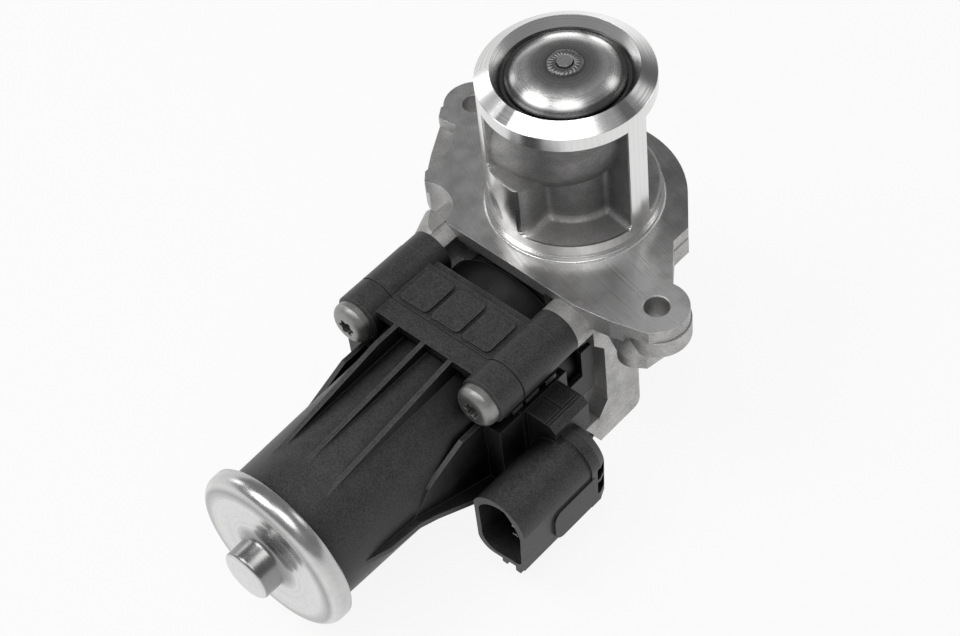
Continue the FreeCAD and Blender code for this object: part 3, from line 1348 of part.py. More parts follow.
def parts():
    """Every node and its solid."""
    nodes = {
        "valve_body": valve_body(),
        "seat_ring": seat_ring(),
        "valve_disc": valve_disc(),
        "stem_collar": stem_collar(),
        "valve_stem": valve_stem(),
        "guide_bush": guide_bush(),
        "stem_scraper": stem_scraper(),
        "scraper_cap": scraper_cap(),
        "stem_seal": stem_seal(),
        "return_spring": return_spring(),
        "spring_plate": spring_plate(),
        "crosshead": crosshead(),
        "roller_pin": roller_pin(),
        "cam_roller": cam_roller(),
        "lower_guide": lower_guide(),
        "cam_wheel": cam_wheel(),
        "carrier": carrier(),
        "planet_pins": planet_pins(),
        "ring_gear": ring_gear(),
        "sun_pinion": sun_pinion(),
        "output_bush": output_bush(),
        "rotor_shaft": rotor_shaft(),
        "rotor_core": rotor_core(),
        "rotor_windings": rotor_windings(),
        "commutator": commutator(),
        "motor_can": motor_can(),
        "magnets": magnets(),
        "brush_holder": brush_holder(),
        "brushes": brushes(),
        "rear_bearing": rear_bearing(),
        "front_bearing": front_bearing(),
        "motor_cap": motor_cap(),
        "motor_housing": motor_housing(),
        "gear_housing": gear_housing(),
        "gear_cover": gear_cover(),
        "cover_seal": cover_seal(),
        "housing_seal": housing_seal(),
        "housing_screws": housing_screws(),
        "connector_terminals": connector_terminals(),
        "sensor_magnet": sensor_magnet(),
        "sensor_board": sensor_board(),
    }
    for index in range(PLANETS):
        nodes["planet_gear_%d" % (index + 1)] = planet_gear(index)
    return nodes


def main():
    os.makedirs("parts", exist_ok=True)
    for name, shape in parts().items():
        shape.exportStep("parts/%s.step" % name)


main()
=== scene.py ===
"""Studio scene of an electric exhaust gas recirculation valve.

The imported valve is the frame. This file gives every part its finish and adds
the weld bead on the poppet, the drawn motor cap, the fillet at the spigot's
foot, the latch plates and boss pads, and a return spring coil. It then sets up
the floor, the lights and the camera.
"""
import math

import bmesh
import bpy
from bpy.props import FloatProperty, FloatVectorProperty, IntProperty, PointerProperty
from mathutils import Matrix, Vector


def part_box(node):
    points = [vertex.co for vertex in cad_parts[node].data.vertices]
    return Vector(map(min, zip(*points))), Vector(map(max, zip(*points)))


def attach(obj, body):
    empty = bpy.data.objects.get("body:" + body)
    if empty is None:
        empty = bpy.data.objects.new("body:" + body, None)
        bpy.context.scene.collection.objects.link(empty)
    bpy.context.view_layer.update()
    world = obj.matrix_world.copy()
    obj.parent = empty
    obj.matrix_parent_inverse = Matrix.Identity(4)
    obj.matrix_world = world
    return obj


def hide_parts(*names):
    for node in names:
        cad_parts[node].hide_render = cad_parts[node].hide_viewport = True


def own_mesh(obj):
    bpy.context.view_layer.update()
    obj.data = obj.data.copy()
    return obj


bl_info = {
    "name": "Exhaust Gas Recirculation Valve",
    "version": (1, 0, 0),
    "blender": (4, 5, 0),
    "location": "View3D > Sidebar > Valve",
    "description": "Finishes and small pieces for a packed exhaust valve",
    "category": "Object",
}

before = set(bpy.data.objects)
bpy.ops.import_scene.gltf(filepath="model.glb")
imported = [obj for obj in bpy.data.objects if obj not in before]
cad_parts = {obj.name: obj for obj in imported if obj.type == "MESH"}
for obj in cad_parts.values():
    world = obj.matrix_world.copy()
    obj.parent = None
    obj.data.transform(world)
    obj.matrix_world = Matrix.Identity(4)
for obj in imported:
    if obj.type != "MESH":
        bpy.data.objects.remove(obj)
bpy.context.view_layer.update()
MM = 0.001

# Sizes and places of the valve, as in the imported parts
MILLED_Z = 0.06 * MM
SPIGOT_R = 22.4 * MM
FOOT_R = 23.65 * MM
RING_BASE_Z = 43.75 * MM
RING_EDGE_Z = 44.5 * MM
RING_CREST_R = 18.8 * MM
COLLAR_LOW, COLLAR_HIGH = [Vector(corner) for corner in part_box("stem_collar")]
CAP_LOW, CAP_HIGH = [Vector(corner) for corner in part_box("motor_cap")]
MOTOR_AXIS_Z = (CAP_LOW.z + CAP_HIGH.z) / 2
STUB_R = 7.3 * MM
STUB_H = 7.7 * MM
STUB_EDGE = 1.2 * MM
STUB_BORE_R = 6.1 * MM
CAP_WALL = 1.2 * MM
CAP_FLAT_R = 10.6 * MM
CAP_STEPS = (11.6 * MM, 16.2 * MM)
CAP_STEP_RISE = 0.09 * MM
CAP_RIM_CHAMFER = 0.3 * MM
BODY_LOW = Vector(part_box("valve_body")[0])
SPRING_LOW, SPRING_HIGH = [Vector(corner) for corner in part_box("return_spring")]

# Steps of the new meshes
WELD_SIDES = 20
WELD_STEPS_PER_BEAD = 10
WELD_SINK = 0.3 * MM
FOOT_STEPS = 240
FOOT_OVERLAP = 0.05 * MM
SPRING_STEPS_PER_TURN = 24
SPRING_SIDES = 12
FLOOR_SIDES = 96
FLOOR_GAP = 0.5 * MM
SAME_POINT = 0.001 * MM
FLAT_SIDE = 1e-6

# Camera, fitted to the valve's outline in a 960 by 636 picture
CAMERA_AZIMUTH = 47.71
CAMERA_ELEVATION = 49.98
CAMERA_ROLL = 7.55
CAMERA_LENS_MM = 82.5
CAMERA_DISTANCE = 0.57985
CAMERA_SIDE = 0.02498
CAMERA_RISE = 0.03228
LAMP_DISTANCE = 0.9
LAMP_TARGET = (0, -0.04, -0.01)

# Middle of the arcs that the cutter left on the milled face
TOOL_CENTRE = (62 * MM, 148 * MM)

# Painted shade and painted reflections as (azimuth in degrees, factor) for the throat, the
# ring and the milled face, and as (radius in metres, factor) for the cap and the disc
THROAT_SHADE_TONES = ((-180, 0.6), (-140, 0.85), (-110, 0.95), (-70, 0.52), (-20, 0.44), (60, 0.45), (180, 0.6))
CHAMFER_REFLECTION_TONES = (
    (-180, 0.85), (-150, 1.0), (-128, 1.25), (-104, 1.25), (-98, 0.12), (-90, 0.12), (-83, 1.25), (-14, 1.25),
    (-7, 0.50), (30, 0.40), (52, 0.55), (72, 1.1), (100, 1.3), (140, 1.0), (180, 0.85),
)
CAP_REFLECTION_TONES = (
    (0.0, 1.0), (6.9 * MM, 1.0), (7.2 * MM, 0.40), (8.6 * MM, 0.55), (10.5 * MM, 0.95), (18.5 * MM, 1.0),
    (19.9 * MM, 0.72), (21.6 * MM, 0.55), (22.6 * MM, 1.0), (24.0 * MM, 0.80),
)
DISC_LIGHT_AND_SHADE_TONES = (
    (0.0, 0.75), (4.8 * MM, 0.42), (5.6 * MM, 0.62), (8.0 * MM, 0.85), (10.2 * MM, 1.5),
    (12.6 * MM, 1.25), (13.6 * MM, 0.8), (14.1 * MM, 0.35), (16.0 * MM, 0.30),
)
FACE_REFLECTION_TONES = (
    (-180, 1.0), (-140, 0.95), (-115, 0.95), (-95, 0.62), (-78, 0.62), (-60, 1.0), (-40, 1.5), (-21, 1.6),
    (-8, 1.15), (10, 0.70), (50, 0.55), (110, 0.75), (180, 1.0),
)

# Small plates on the mouldings, as name, low and high corner and edge in
# millimetres. Where the corners are level, the plate is twice the rise thick.
SMALL_PLATES = (
    ("latch_door", (27.4, -52.1, -18.2), (33.2, -46.4, -18.2), 0.12),
    ("latch_ridge", (33.75, -52.1, -18.2), (34.15, -40.2, -18.2), 0.08),
    ("boss_pad_front", (27.0, -57.0, -14.4), (27.0, -53.4, -13.0), 0.12),
    ("boss_pad_middle", (27.0, -52.0, -14.6), (27.0, -47.2, -13.2), 0.12),
    ("boss_pad_rear", (27.0, -44.4, -15.2), (27.0, -40.6, -13.6), 0.12),
    ("latch_rear_plate", (27.4, -45.6, -18.2), (33.2, -40.4, -18.2), 0.12),
)


class ValveFinishSettings(bpy.types.PropertyGroup):
    """Colours and grain of the valve's finishes."""

    cast_colour: FloatVectorProperty(
        name="Casting", description="Colour of the cast aluminium", subtype="COLOR",
        default=(0.46, 0.455, 0.45), min=0.0, max=1.0)
    machined_colour: FloatVectorProperty(
        name="Machined faces", description="Colour of the turned and milled aluminium",
        subtype="COLOR", default=(0.76, 0.755, 0.75), min=0.0, max=1.0)
    cast_grain: FloatProperty(
        name="Casting grain", description="Size of the casting's surface grain",
        default=0.45 * MM, min=0.05 * MM, max=3 * MM, subtype="DISTANCE", unit="LENGTH")
    plastic_colour: FloatVectorProperty(
        name="Black plastic", description="Colour of the moulded housings", subtype="COLOR",
        default=(0.045, 0.045, 0.0455), min=0.0, max=1.0)
    plastic_grain: FloatProperty(
        name="Plastic grain", description="Size of the moulded surface grain",
        default=0.42 * MM, min=0.05 * MM, max=3 * MM, subtype="DISTANCE", unit="LENGTH")
    edge_round: FloatProperty(
        name="Edge round", description="Radius that softens the edges in the finish",
        default=0.16 * MM, min=0.0, max=2 * MM, subtype="DISTANCE", unit="LENGTH")


class ValvePieceSettings(bpy.types.PropertyGroup):
    """Sizes of the small pieces on the valve."""

    weld_radius: FloatProperty(
        name="Weld radius", description="Radius of the weld bead round the stem",
        default=4.75 * MM, min=3 * MM, max=8 * MM, subtype="DISTANCE", unit="LENGTH")
    weld_bore: FloatProperty(
        name="Weld bore", description="Radius of the stem's tip inside the weld bead",
        default=2.0 * MM, min=1 * MM, max=3 * MM, subtype="DISTANCE", unit="LENGTH")
    weld_beads: IntProperty(
        name="Weld ripples", description="Ripples round the weld bead", default=24, min=8, max=60)
    cap_edge: FloatProperty(
        name="Cap edge", description="Radius of the motor cap's drawn edge",
        default=3.6 * MM, min=1 * MM, max=5 * MM, subtype="DISTANCE", unit="LENGTH")
    foot_fillet: FloatProperty(
        name="Foot fillet", description="Radius of the fillet round the spigot's foot",
        default=0.5 * MM, min=0.1 * MM, max=2 * MM, subtype="DISTANCE", unit="LENGTH")
    plate_rise: FloatProperty(
        name="Plate rise", description="Height of the small plates above the moulding",
        default=0.25 * MM, min=0.05 * MM, max=1 * MM, subtype="DISTANCE", unit="LENGTH")
    cap_sides: IntProperty(
        name="Cap sides", description="Steps round the motor cap", default=180, min=32, max=400)
    spring_wire: FloatProperty(
        name="Spring wire", description="Radius of the return spring's wire",
        default=0.8 * MM, min=0.3 * MM, max=1.2 * MM, subtype="DISTANCE", unit="LENGTH")
    spring_turns: FloatProperty(
        name="Spring turns", description="Turns of the return spring", default=5.5, min=3.0, max=7.0)


class ValveStageSettings(bpy.types.PropertyGroup):
    """Light and floor."""

    key_power: FloatProperty(
        name="Key light", description="Power of the soft light above the camera", default=2.0,
        min=0.0, max=200.0, subtype="POWER", unit="POWER")
    side_power: FloatProperty(
        name="Side light", description="Power of the soft light on the left", default=2.6,
        min=0.0, max=200.0, subtype="POWER", unit="POWER")
    low_power: FloatProperty(
        name="Low light", description="Power of the small light low on the left", default=0.5,
        min=0.0, max=200.0, subtype="POWER", unit="POWER")
    back_power: FloatProperty(
        name="Back light", description="Power of the small soft light behind on the right", default=0.35,
        min=0.0, max=200.0, subtype="POWER", unit="POWER")
    world_level: FloatProperty(
        name="Room light", description="Strength of the even light from all round",
        default=0.26, min=0.0, max=2.0)
    floor_radius: FloatProperty(
        name="Floor radius", description="From the valve to the foot of the pale backdrop", default=3.0,
        min=1.0, max=20.0, subtype="DISTANCE", unit="LENGTH")
    backdrop_height: FloatProperty(
        name="Backdrop height", description="Height of the pale backdrop round the floor", default=0.75,
        min=0.1, max=5.0, subtype="DISTANCE", unit="LENGTH")


# Node helpers for the finishes

def start_finish(name, colour, metallic, roughness):
    """New material with a Principled shader and object coordinates."""
    material = bpy.data.materials.new(name)
    material.use_nodes = True
    tree = material.node_tree
    shader = tree.nodes["Principled BSDF"]
    shader.inputs["Base Color"].default_value = (*colour, 1.0)
    shader.inputs["Metallic"].default_value = metallic
    shader.inputs["Roughness"].default_value = roughness
    place = tree.nodes.new("ShaderNodeTexCoord")
    return material, tree, shader, place.outputs["Object"]


def add_node(tree, kind, **values):
    """Node with its settings, and with its sockets set by name."""
    node = tree.nodes.new(kind)
    sockets = values.pop("sockets", {})
    for name, value in values.items():
        setattr(node, name, value)
    for name, value in sockets.items():
        if isinstance(value, bpy.types.NodeSocket):
            tree.links.new(value, node.inputs[name])
        else:
            node.inputs[name].default_value = value
    return node


def math_node(tree, operation, first, second=0.0):
    """Output of a math node on sockets or numbers."""
    node = tree.nodes.new("ShaderNodeMath")
    node.operation = operation
    for index, value in enumerate((first, second)):
        if isinstance(value, bpy.types.NodeSocket):
            tree.links.new(value, node.inputs[index])
        else:
            node.inputs[index].default_value = value
    return node.outputs[0]


def noise(tree, place, size, detail=3.0, roughness=0.55):
    """Noise whose features are about size metres wide."""
    node = add_node(tree, "ShaderNodeTexNoise",
                    sockets={"Vector": place, "Scale": 1.0 / size, "Detail": detail, "Roughness": roughness})
    return node.outputs["Fac"]


def spread(tree, value, low, high, out_low, out_high):
    """Value carried from one range to another, held at the ends."""
    node = add_node(tree, "ShaderNodeMapRange",
                    sockets={"Value": value, "From Min": low, "From Max": high,
                             "To Min": out_low, "To Max": out_high})
    return node.outputs["Result"]


def tones(tree, value, stops):
    """Colour ramp from (position, grey or colour) stops."""
    node = add_node(tree, "ShaderNodeValToRGB", sockets={"Fac": value})
    ramp = node.color_ramp
    while len(ramp.elements) < len(stops):
        ramp.elements.new(0.5)
    for element, (position, colour) in zip(ramp.elements, stops):
        element.position = position
        element.color = (*colour, 1.0)
    return node.outputs["Color"]


def shade(colour, factor):
    """Colour made darker or lighter, held at white."""
    return tuple(min(1.0, channel * factor) for channel in colour)


def shades(tree, value, colour, low, high):
    """Colour from dark to light over value, for (position, factor) at each end."""
    return tones(tree, value, [(position, shade(colour, factor)) for position, factor in (low, high)])


def mixture(tree, first, first_share, second, second_share):
    """Two numbers added in their shares."""
    return math_node(tree, "ADD", math_node(tree, "MULTIPLY", first, first_share),
                     math_node(tree, "MULTIPLY", second, second_share))


def grey(tree, value):
    """Number as a grey colour."""
    return add_node(tree, "ShaderNodeCombineXYZ", sockets={"X": value, "Y": value, "Z": value}).outputs[0]


def blend_colour(tree, factor, first, second):
    """Colour mixed between two sockets or colours."""
    node = tree.nodes.new("ShaderNodeMix")
    node.data_type = "RGBA"
    tree.links.new(factor, node.inputs["Factor"])
    for name, value in (("A", first), ("B", second)):
        socket = [item for item in node.inputs if item.name == name and item.type == "RGBA"][0]
        if isinstance(value, bpy.types.NodeSocket):
            tree.links.new(value, socket)
        else:
            socket.default_value = (*value, 1.0)
    return [item for item in node.outputs if item.type == "RGBA"][0]


def blend_value(tree, factor, first, second):
    """Number mixed between two sockets or numbers."""
    node = tree.nodes.new("ShaderNodeMix")
    node.data_type = "FLOAT"
    tree.links.new(factor, node.inputs["Factor"])
    for name, value in (("A", first), ("B", second)):
        socket = [item for item in node.inputs if item.name == name and item.type == "VALUE"][0]
        if isinstance(value, bpy.types.NodeSocket):
            tree.links.new(value, socket)
        else:
            socket.default_value = value
    return [item for item in node.outputs if item.type == "VALUE"][0]


def relief(tree, shader, height, depth, edge_round=0.0):
    """Bump of that depth in metres, over edges softened by edge_round."""
    bump = add_node(tree, "ShaderNodeBump", sockets={"Height": height, "Distance": depth, "Strength": 1.0})
    if edge_round:
        soft = add_node(tree, "ShaderNodeBevel", samples=4, sockets={"Radius": edge_round})
        tree.links.new(soft.outputs["Normal"], bump.inputs["Normal"])
    tree.links.new(bump.outputs["Normal"], shader.inputs["Normal"])


def radius_from(tree, place, across, centre=(0.0, 0.0)):
    """Distance from an axis, where across names the two coordinates."""
    parts = add_node(tree, "ShaderNodeSeparateXYZ", sockets={"Vector": place})
    first = math_node(tree, "SUBTRACT", parts.outputs[across[0]], centre[0])
    second = math_node(tree, "SUBTRACT", parts.outputs[across[1]], centre[1])
    squares = math_node(tree, "ADD", math_node(tree, "MULTIPLY", first, first),
                        math_node(tree, "MULTIPLY", second, second))
    return math_node(tree, "SQRT", squares), parts


def dress(node, material):
    """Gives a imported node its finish."""
    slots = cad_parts[node].material_slots
    if not slots:
        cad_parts[node].data.materials.append(material)
    for slot in slots:
        slot.link = "OBJECT"
        slot.material = material


# Finishes

def turned_rings(tree, radius, pitch, wobble):
    """Fine concentric tool marks along a radius."""
    wave = add_node(tree, "ShaderNodeTexNoise", noise_dimensions="1D",
                    sockets={"W": math_node(tree, "ADD", radius, wobble), "Scale": 1.0 / pitch,
                             "Detail": 2.0, "Roughness": 0.7})
    return wave.outputs["Fac"]


def round_turn(tree, parts):
    """Azimuth about the stem as 0 to 1, starting at -180 degrees."""
    angle = math_node(tree, "ARCTAN2", parts.outputs["Y"], parts.outputs["X"])
    return math_node(tree, "ADD", math_node(tree, "MULTIPLY", angle, 0.5 / math.pi), 0.5)


def azimuth_tones(tree, turn, stops):
    """Grey factor from (azimuth in degrees, factor) stops."""
    grey = [((azimuth + 180.0) / 360.0, (factor,) * 3) for azimuth, factor in stops]
    return tones(tree, turn, grey)


def times(tree, first, second):
    """Product of two colours or of a colour and a grey."""
    node = add_node(tree, "ShaderNodeVectorMath", operation="MULTIPLY")
    tree.links.new(first, node.inputs[0])
    tree.links.new(second, node.inputs[1])
    return node.outputs[0]


def edge_mask(tree, reach):
    """About 1 along an edge and 0 on flat faces, the mask of the painted edge highlight."""
    soft = add_node(tree, "ShaderNodeBevel", samples=4, sockets={"Radius": reach})
    flat = tree.nodes.new("ShaderNodeNewGeometry")
    dot = add_node(tree, "ShaderNodeVectorMath", operation="DOT_PRODUCT")
    tree.links.new(soft.outputs["Normal"], dot.inputs[0])
    tree.links.new(flat.outputs["Normal"], dot.inputs[1])
    return spread(tree, dot.outputs["Value"], 0.995, 0.93, 0.0, 1.0)


def casting_finish(settings):
    """Grainy cast aluminium with a milled face and a turned ring that carry painted reflections, and a throat
    with painted shade and a painted light on its floor.
    """
    material, tree, shader, place = start_finish("cast_aluminium", settings.cast_colour, 1.0, 0.55)
    radius, parts = radius_from(tree, place, ("X", "Y"))
    height = parts.outputs["Z"]
    turn = round_turn(tree, parts)
    face = math_node(tree, "LESS_THAN", math_node(tree, "ABSOLUTE", height), MILLED_Z)
    above = math_node(tree, "GREATER_THAN", height, MILLED_Z)
    outside = math_node(tree, "GREATER_THAN", radius, SPIGOT_R)
    crown = math_node(tree, "GREATER_THAN", height, RING_BASE_Z)
    ring = math_node(tree, "MAXIMUM", math_node(tree, "MULTIPLY", above, outside), crown)
    throat = math_node(tree, "MULTIPLY", above, math_node(tree, "SUBTRACT", 1.0, ring))

    grain = noise(tree, place, settings.cast_grain, 4.0, 0.7)
    speck = noise(tree, place, settings.cast_grain * 0.45, 2.0, 0.6)
    cloud = noise(tree, place, 6 * MM, 4.0, 0.6)
    mottle = mixture(tree, mixture(tree, grain, 0.55, cloud, 0.45), 0.7, speck, 0.3)
    cast = shades(tree, mottle, settings.cast_colour, (0.34, 0.55), (0.66, 1.45))
    # painted shade: the throat darkens by azimuth after the throat tones, and a painted light makes its floor
    # below 5 mm up to 2.1 times lighter
    depth = azimuth_tones(tree, turn, THROAT_SHADE_TONES)
    low = spread(tree, height, 5 * MM, 9 * MM, 2.1, 1.0)
    shaded_throat = times(tree, cast, times(tree, depth, grey(tree, low)))
    cast_with_throat_shade = blend_colour(tree, throat, cast, shaded_throat)

    rings = turned_rings(tree, radius, 0.30 * MM, math_node(tree, "MULTIPLY", cloud, 0.03 * MM))
    tool, _ = radius_from(tree, place, ("X", "Y"), TOOL_CENTRE)
    mill = turned_rings(tree, tool, 0.42 * MM, math_node(tree, "MULTIPLY", cloud, 0.25 * MM))
    bright = shades(tree, rings, settings.machined_colour, (0.28, 0.84), (0.72, 1.12))
    # painted reflection: the chamfer above the ring's edge gets light and dark streaks by azimuth from the
    # chamfer tones
    rim = math_node(tree, "MULTIPLY", math_node(tree, "GREATER_THAN", height, RING_EDGE_Z),
                    math_node(tree, "GREATER_THAN", radius, RING_CREST_R))
    painted_reflection = times(tree, bright, azimuth_tones(tree, turn, CHAMFER_REFLECTION_TONES))
    bright = blend_colour(tree, rim, bright, painted_reflection)
    flat = shades(tree, mill, settings.machined_colour, (0.28, 0.78), (0.72, 1.08))
    # painted reflection: the milled face gets a light streak and darker sectors by azimuth from the face
    # tones
    flat = times(tree, flat, azimuth_tones(tree, turn, FACE_REFLECTION_TONES))
    patch = tones(tree, cloud, [(0.35, (0.78, 0.78, 0.78)), (0.65, (1.08, 1.08, 1.08))])
    flat = times(tree, flat, patch)
    colour = blend_colour(tree, face, cast_with_throat_shade, flat)
    tree.links.new(blend_colour(tree, ring, colour, bright), shader.inputs["Base Color"])

    cast_rough = spread(tree, mottle, 0.35, 0.65, 0.62, 0.44)
    mill_rough = spread(tree, mill, 0.3, 0.7, 0.40, 0.27)
    ring_rough = spread(tree, rings, 0.3, 0.7, 0.27, 0.18)
    rough = blend_value(tree, face, cast_rough, mill_rough)
    tree.links.new(blend_value(tree, ring, rough, ring_rough), shader.inputs["Roughness"])
    level = blend_value(tree, face, mottle, math_node(tree, "MULTIPLY", mill, 0.10))
    level = blend_value(tree, ring, level, math_node(tree, "MULTIPLY", rings, 0.03))
    relief(tree, shader, level, 0.20 * MM, settings.edge_round)
    return material


def plastic_finish(settings, name="black_moulding", core=1.0):
    """Black glass-filled plastic with a fine moulded grain, painted shade in its
    hollows and a painted highlight along its edges. core adds painted shade near the motor axis."""
    material, tree, shader, place = start_finish(name, settings.plastic_colour, 0.0, 0.5)
    middle, _ = radius_from(tree, place, ("X", "Z"), (0.0, MOTOR_AXIS_Z))
    grain = noise(tree, place, settings.plastic_grain, 3.0, 0.65)
    flow = add_node(tree, "ShaderNodeTexNoise", sockets={
        "Vector": place, "Scale": 1.0 / (3.5 * MM), "Detail": 4.0, "Distortion": 0.8}).outputs["Fac"]
    mixed = mixture(tree, grain, 0.84, flow, 0.16)
    colour = shades(tree, mixed, settings.plastic_colour, (0.36, 0.42), (0.64, 1.6))
    # painted shade: the colour darkens in hollows by ambient occlusion, and by the core factor inside 24 mm
    # of the motor axis
    hollow = add_node(tree, "ShaderNodeAmbientOcclusion", samples=6, sockets={"Distance": 14 * MM})
    recess_shade = math_node(tree, "POWER", hollow.outputs["AO"], 1.8)
    recess_shade = math_node(tree, "MULTIPLY", recess_shade, spread(tree, middle, 23.6 * MM, 24.6 * MM, core, 1.0))
    colour = times(tree, colour, grey(tree, recess_shade))
    # painted highlight: edges are lightened towards three times the plastic colour
    edge_highlight = shade(settings.plastic_colour, 3.0)
    edge = math_node(tree, "MULTIPLY", edge_mask(tree, 0.28 * MM), 0.75)
    tree.links.new(blend_colour(tree, edge, colour, edge_highlight), shader.inputs["Base Color"])
    tree.links.new(spread(tree, mixed, 0.35, 0.65, 0.34, 0.56), shader.inputs["Roughness"])
    shader.inputs["Specular IOR Level"].default_value = 0.42
    relief(tree, shader, grain, 0.05 * MM, settings.edge_round * 0.7)
    return material


def plated_finish(name, colour, roughness, across, centre, pitch, depth, edge_round, stops):
    """Plated or polished metal with faint rings round an axis, and with painted
    reflections, highlights and shade as grey (radius in metres, factor) stops."""
    material, tree, shader, place = start_finish(name, colour, 1.0, roughness)
    radius, _ = radius_from(tree, place, across, centre)
    haze = noise(tree, place, 2.2 * MM, 4.0, 0.6)
    rings = turned_rings(tree, radius, pitch, math_node(tree, "MULTIPLY", haze, 0.15 * MM))
    mixed = mixture(tree, rings, 0.5, haze, 0.5)
    base = shades(tree, mixed, colour, (0.3, 0.85), (0.7, 1.1))
    # painted reflection and shade: the base colour is scaled by the stops over the radius
    widest = stops[-1][0]
    painted_light_greys = [(far / widest, (factor,) * 3) for far, factor in stops]
    base = times(tree, base, tones(tree, math_node(tree, "DIVIDE", radius, widest), painted_light_greys))
    tree.links.new(base, shader.inputs["Base Color"])
    rough = spread(tree, mixed, 0.3, 0.7, roughness * 0.8, roughness * 1.3)
    tree.links.new(rough, shader.inputs["Roughness"])
    relief(tree, shader, mixed, depth, edge_round)
    return material


def steel_finish(name, colour, roughness, grain=0.4 * MM, depth=0.01 * MM, metallic=1.0):
    """Plain metal with a fine ground or drawn surface."""
    material, tree, shader, place = start_finish(name, colour, metallic, roughness)
    fine = noise(tree, place, grain, 3.0, 0.6)
    tree.links.new(shades(tree, fine, colour, (0.3, 0.85), (0.7, 1.12)), shader.inputs["Base Color"])
    rough = spread(tree, fine, 0.3, 0.7, roughness * 0.85, roughness * 1.2)
    tree.links.new(rough, shader.inputs["Roughness"])
    relief(tree, shader, fine, depth, 0.2 * MM)
    return material


# Mesh helpers for the new pieces

def finish_piece(mesh, name, body, material, smooth=True):
    """Object from a bmesh, riding on a body with its finish and slot."""
    bmesh.ops.recalc_face_normals(mesh, faces=mesh.faces)
    data = bpy.data.meshes.new(name)
    mesh.to_mesh(data)
    mesh.free()
    if smooth:
        data.shade_smooth()
    piece = bpy.data.objects.new(name, data)
    bpy.context.scene.collection.objects.link(piece)
    data.materials.append(material)
    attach(piece, body)
    return piece


def finish_named(name):
    """A finish made by the finishes operator."""
    material = bpy.data.materials.get(name)
    if material is None:
        raise RuntimeError("make the finishes first: %s is missing" % name)
    return material


def arc_points(far, along, radius, start, end, count):
    """Points of an arc in a profile of (radius, length) pairs, angles in degrees."""
    points = []
    for index in range(count + 1):
        angle = math.radians(start + (end - start) * index / count)
        points.append((far + radius * math.cos(angle), along + radius * math.sin(angle)))
    return points


# Operators

class VALVE_OT_finishes(bpy.types.Operator):
    """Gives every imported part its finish"""

    bl_idname = "valve.finishes"
    bl_label = "Finishes"

    def execute(self, context):
        settings = context.scene.valve_finish
        motor = (0.0, MOTOR_AXIS_Z)
        casting = casting_finish(settings)
        plastic = plastic_finish(settings)
        # shaded_moulding has painted shade near the motor axis, at a quarter of the colour
        shaded = plastic_finish(settings, "shaded_moulding", 0.25)
        # the cap's radius tones are a painted reflection: dark and light bands round its face and rim
        cap = plated_finish("bright_zinc", (0.70, 0.70, 0.695), 0.25, ("X", "Z"), motor,
                            0.8 * MM, 0.0025 * MM, 0.5 * MM, CAP_REFLECTION_TONES)
        # the disc's radius tones are a painted highlight on the dome's shoulder and painted shade at its
        # middle, round its edge and on the seat ring
        disc = plated_finish("turned_valve_steel", (0.46, 0.46, 0.455), 0.24, ("X", "Y"), (0, 0),
                             0.5 * MM, 0.012 * MM, 1.2 * MM, DISC_LIGHT_AND_SHADE_TONES)
        screw = steel_finish("satin_screw_steel", (0.34, 0.34, 0.33), 0.46, 0.45 * MM, 0.03 * MM)
        steel_finish("polished_foot", (0.80, 0.80, 0.79), 0.20, 0.5 * MM, 0.004 * MM)
        ground = steel_finish("ground_steel", (0.60, 0.60, 0.61), 0.28)
        steel_finish("weld_bead", (0.20, 0.20, 0.20), 0.36, 0.35 * MM, 0.05 * MM)
        iron = steel_finish("sintered_iron", (0.22, 0.215, 0.21), 0.6, 0.3 * MM, 0.04 * MM)
        bronze = steel_finish("bearing_bronze", (0.55, 0.38, 0.20), 0.4)
        copper = steel_finish("enamelled_copper", (0.56, 0.24, 0.11), 0.35)
        spring = steel_finish("drawn_spring_steel", (0.33, 0.33, 0.34), 0.35)
        rubber = steel_finish("seal_rubber", (0.02, 0.02, 0.02), 0.7, 0.3 * MM, 0.02 * MM, 0.0)
        natural = steel_finish("natural_nylon", (0.62, 0.58, 0.48), 0.5, 0.4 * MM, 0.01 * MM, 0.0)
        ferrite = steel_finish("ferrite_magnet", (0.06, 0.06, 0.065), 0.6, 0.3 * MM, 0.03 * MM, 0.0)
        carbon = steel_finish("pressed_carbon", (0.045, 0.045, 0.045), 0.55, 0.2 * MM, 0.02 * MM, 0.0)
        board = steel_finish("circuit_board", (0.02, 0.11, 0.05), 0.4, 1.2 * MM, 0.01 * MM, 0.0)
        tin = steel_finish("tinned_blade", (0.75, 0.74, 0.70), 0.25)
        wear = {
            "valve_body": casting, "seat_ring": disc, "valve_disc": disc, "stem_collar": disc,
            "valve_stem": ground, "guide_bush": bronze, "stem_scraper": iron, "scraper_cap": ground,
            "stem_seal": rubber, "return_spring": spring, "spring_plate": ground, "crosshead": ground,
            "roller_pin": ground, "cam_roller": ground, "lower_guide": bronze, "cam_wheel": iron,
            "carrier": ground, "planet_pins": ground, "planet_gear_1": natural,
            "planet_gear_2": natural, "planet_gear_3": natural, "ring_gear": natural,
            "sun_pinion": ground, "output_bush": bronze, "rotor_shaft": ground, "rotor_core": iron,
            "rotor_windings": copper, "commutator": copper, "motor_can": cap, "magnets": ferrite,
            "brush_holder": plastic, "brushes": carbon, "rear_bearing": ground,
            "front_bearing": ground, "motor_cap": cap, "motor_housing": plastic,
            "gear_housing": plastic, "gear_cover": shaded, "housing_screws": screw,
            "connector_terminals": tin, "sensor_magnet": ferrite, "sensor_board": board,
            "cover_seal": rubber, "housing_seal": rubber,
        }
        missing = set(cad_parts) - set(wear)
        if missing:
            raise RuntimeError("no finish for %s" % ", ".join(sorted(missing)))
        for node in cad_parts:
            dress(node, wear[node])
        return {"FINISHED"}


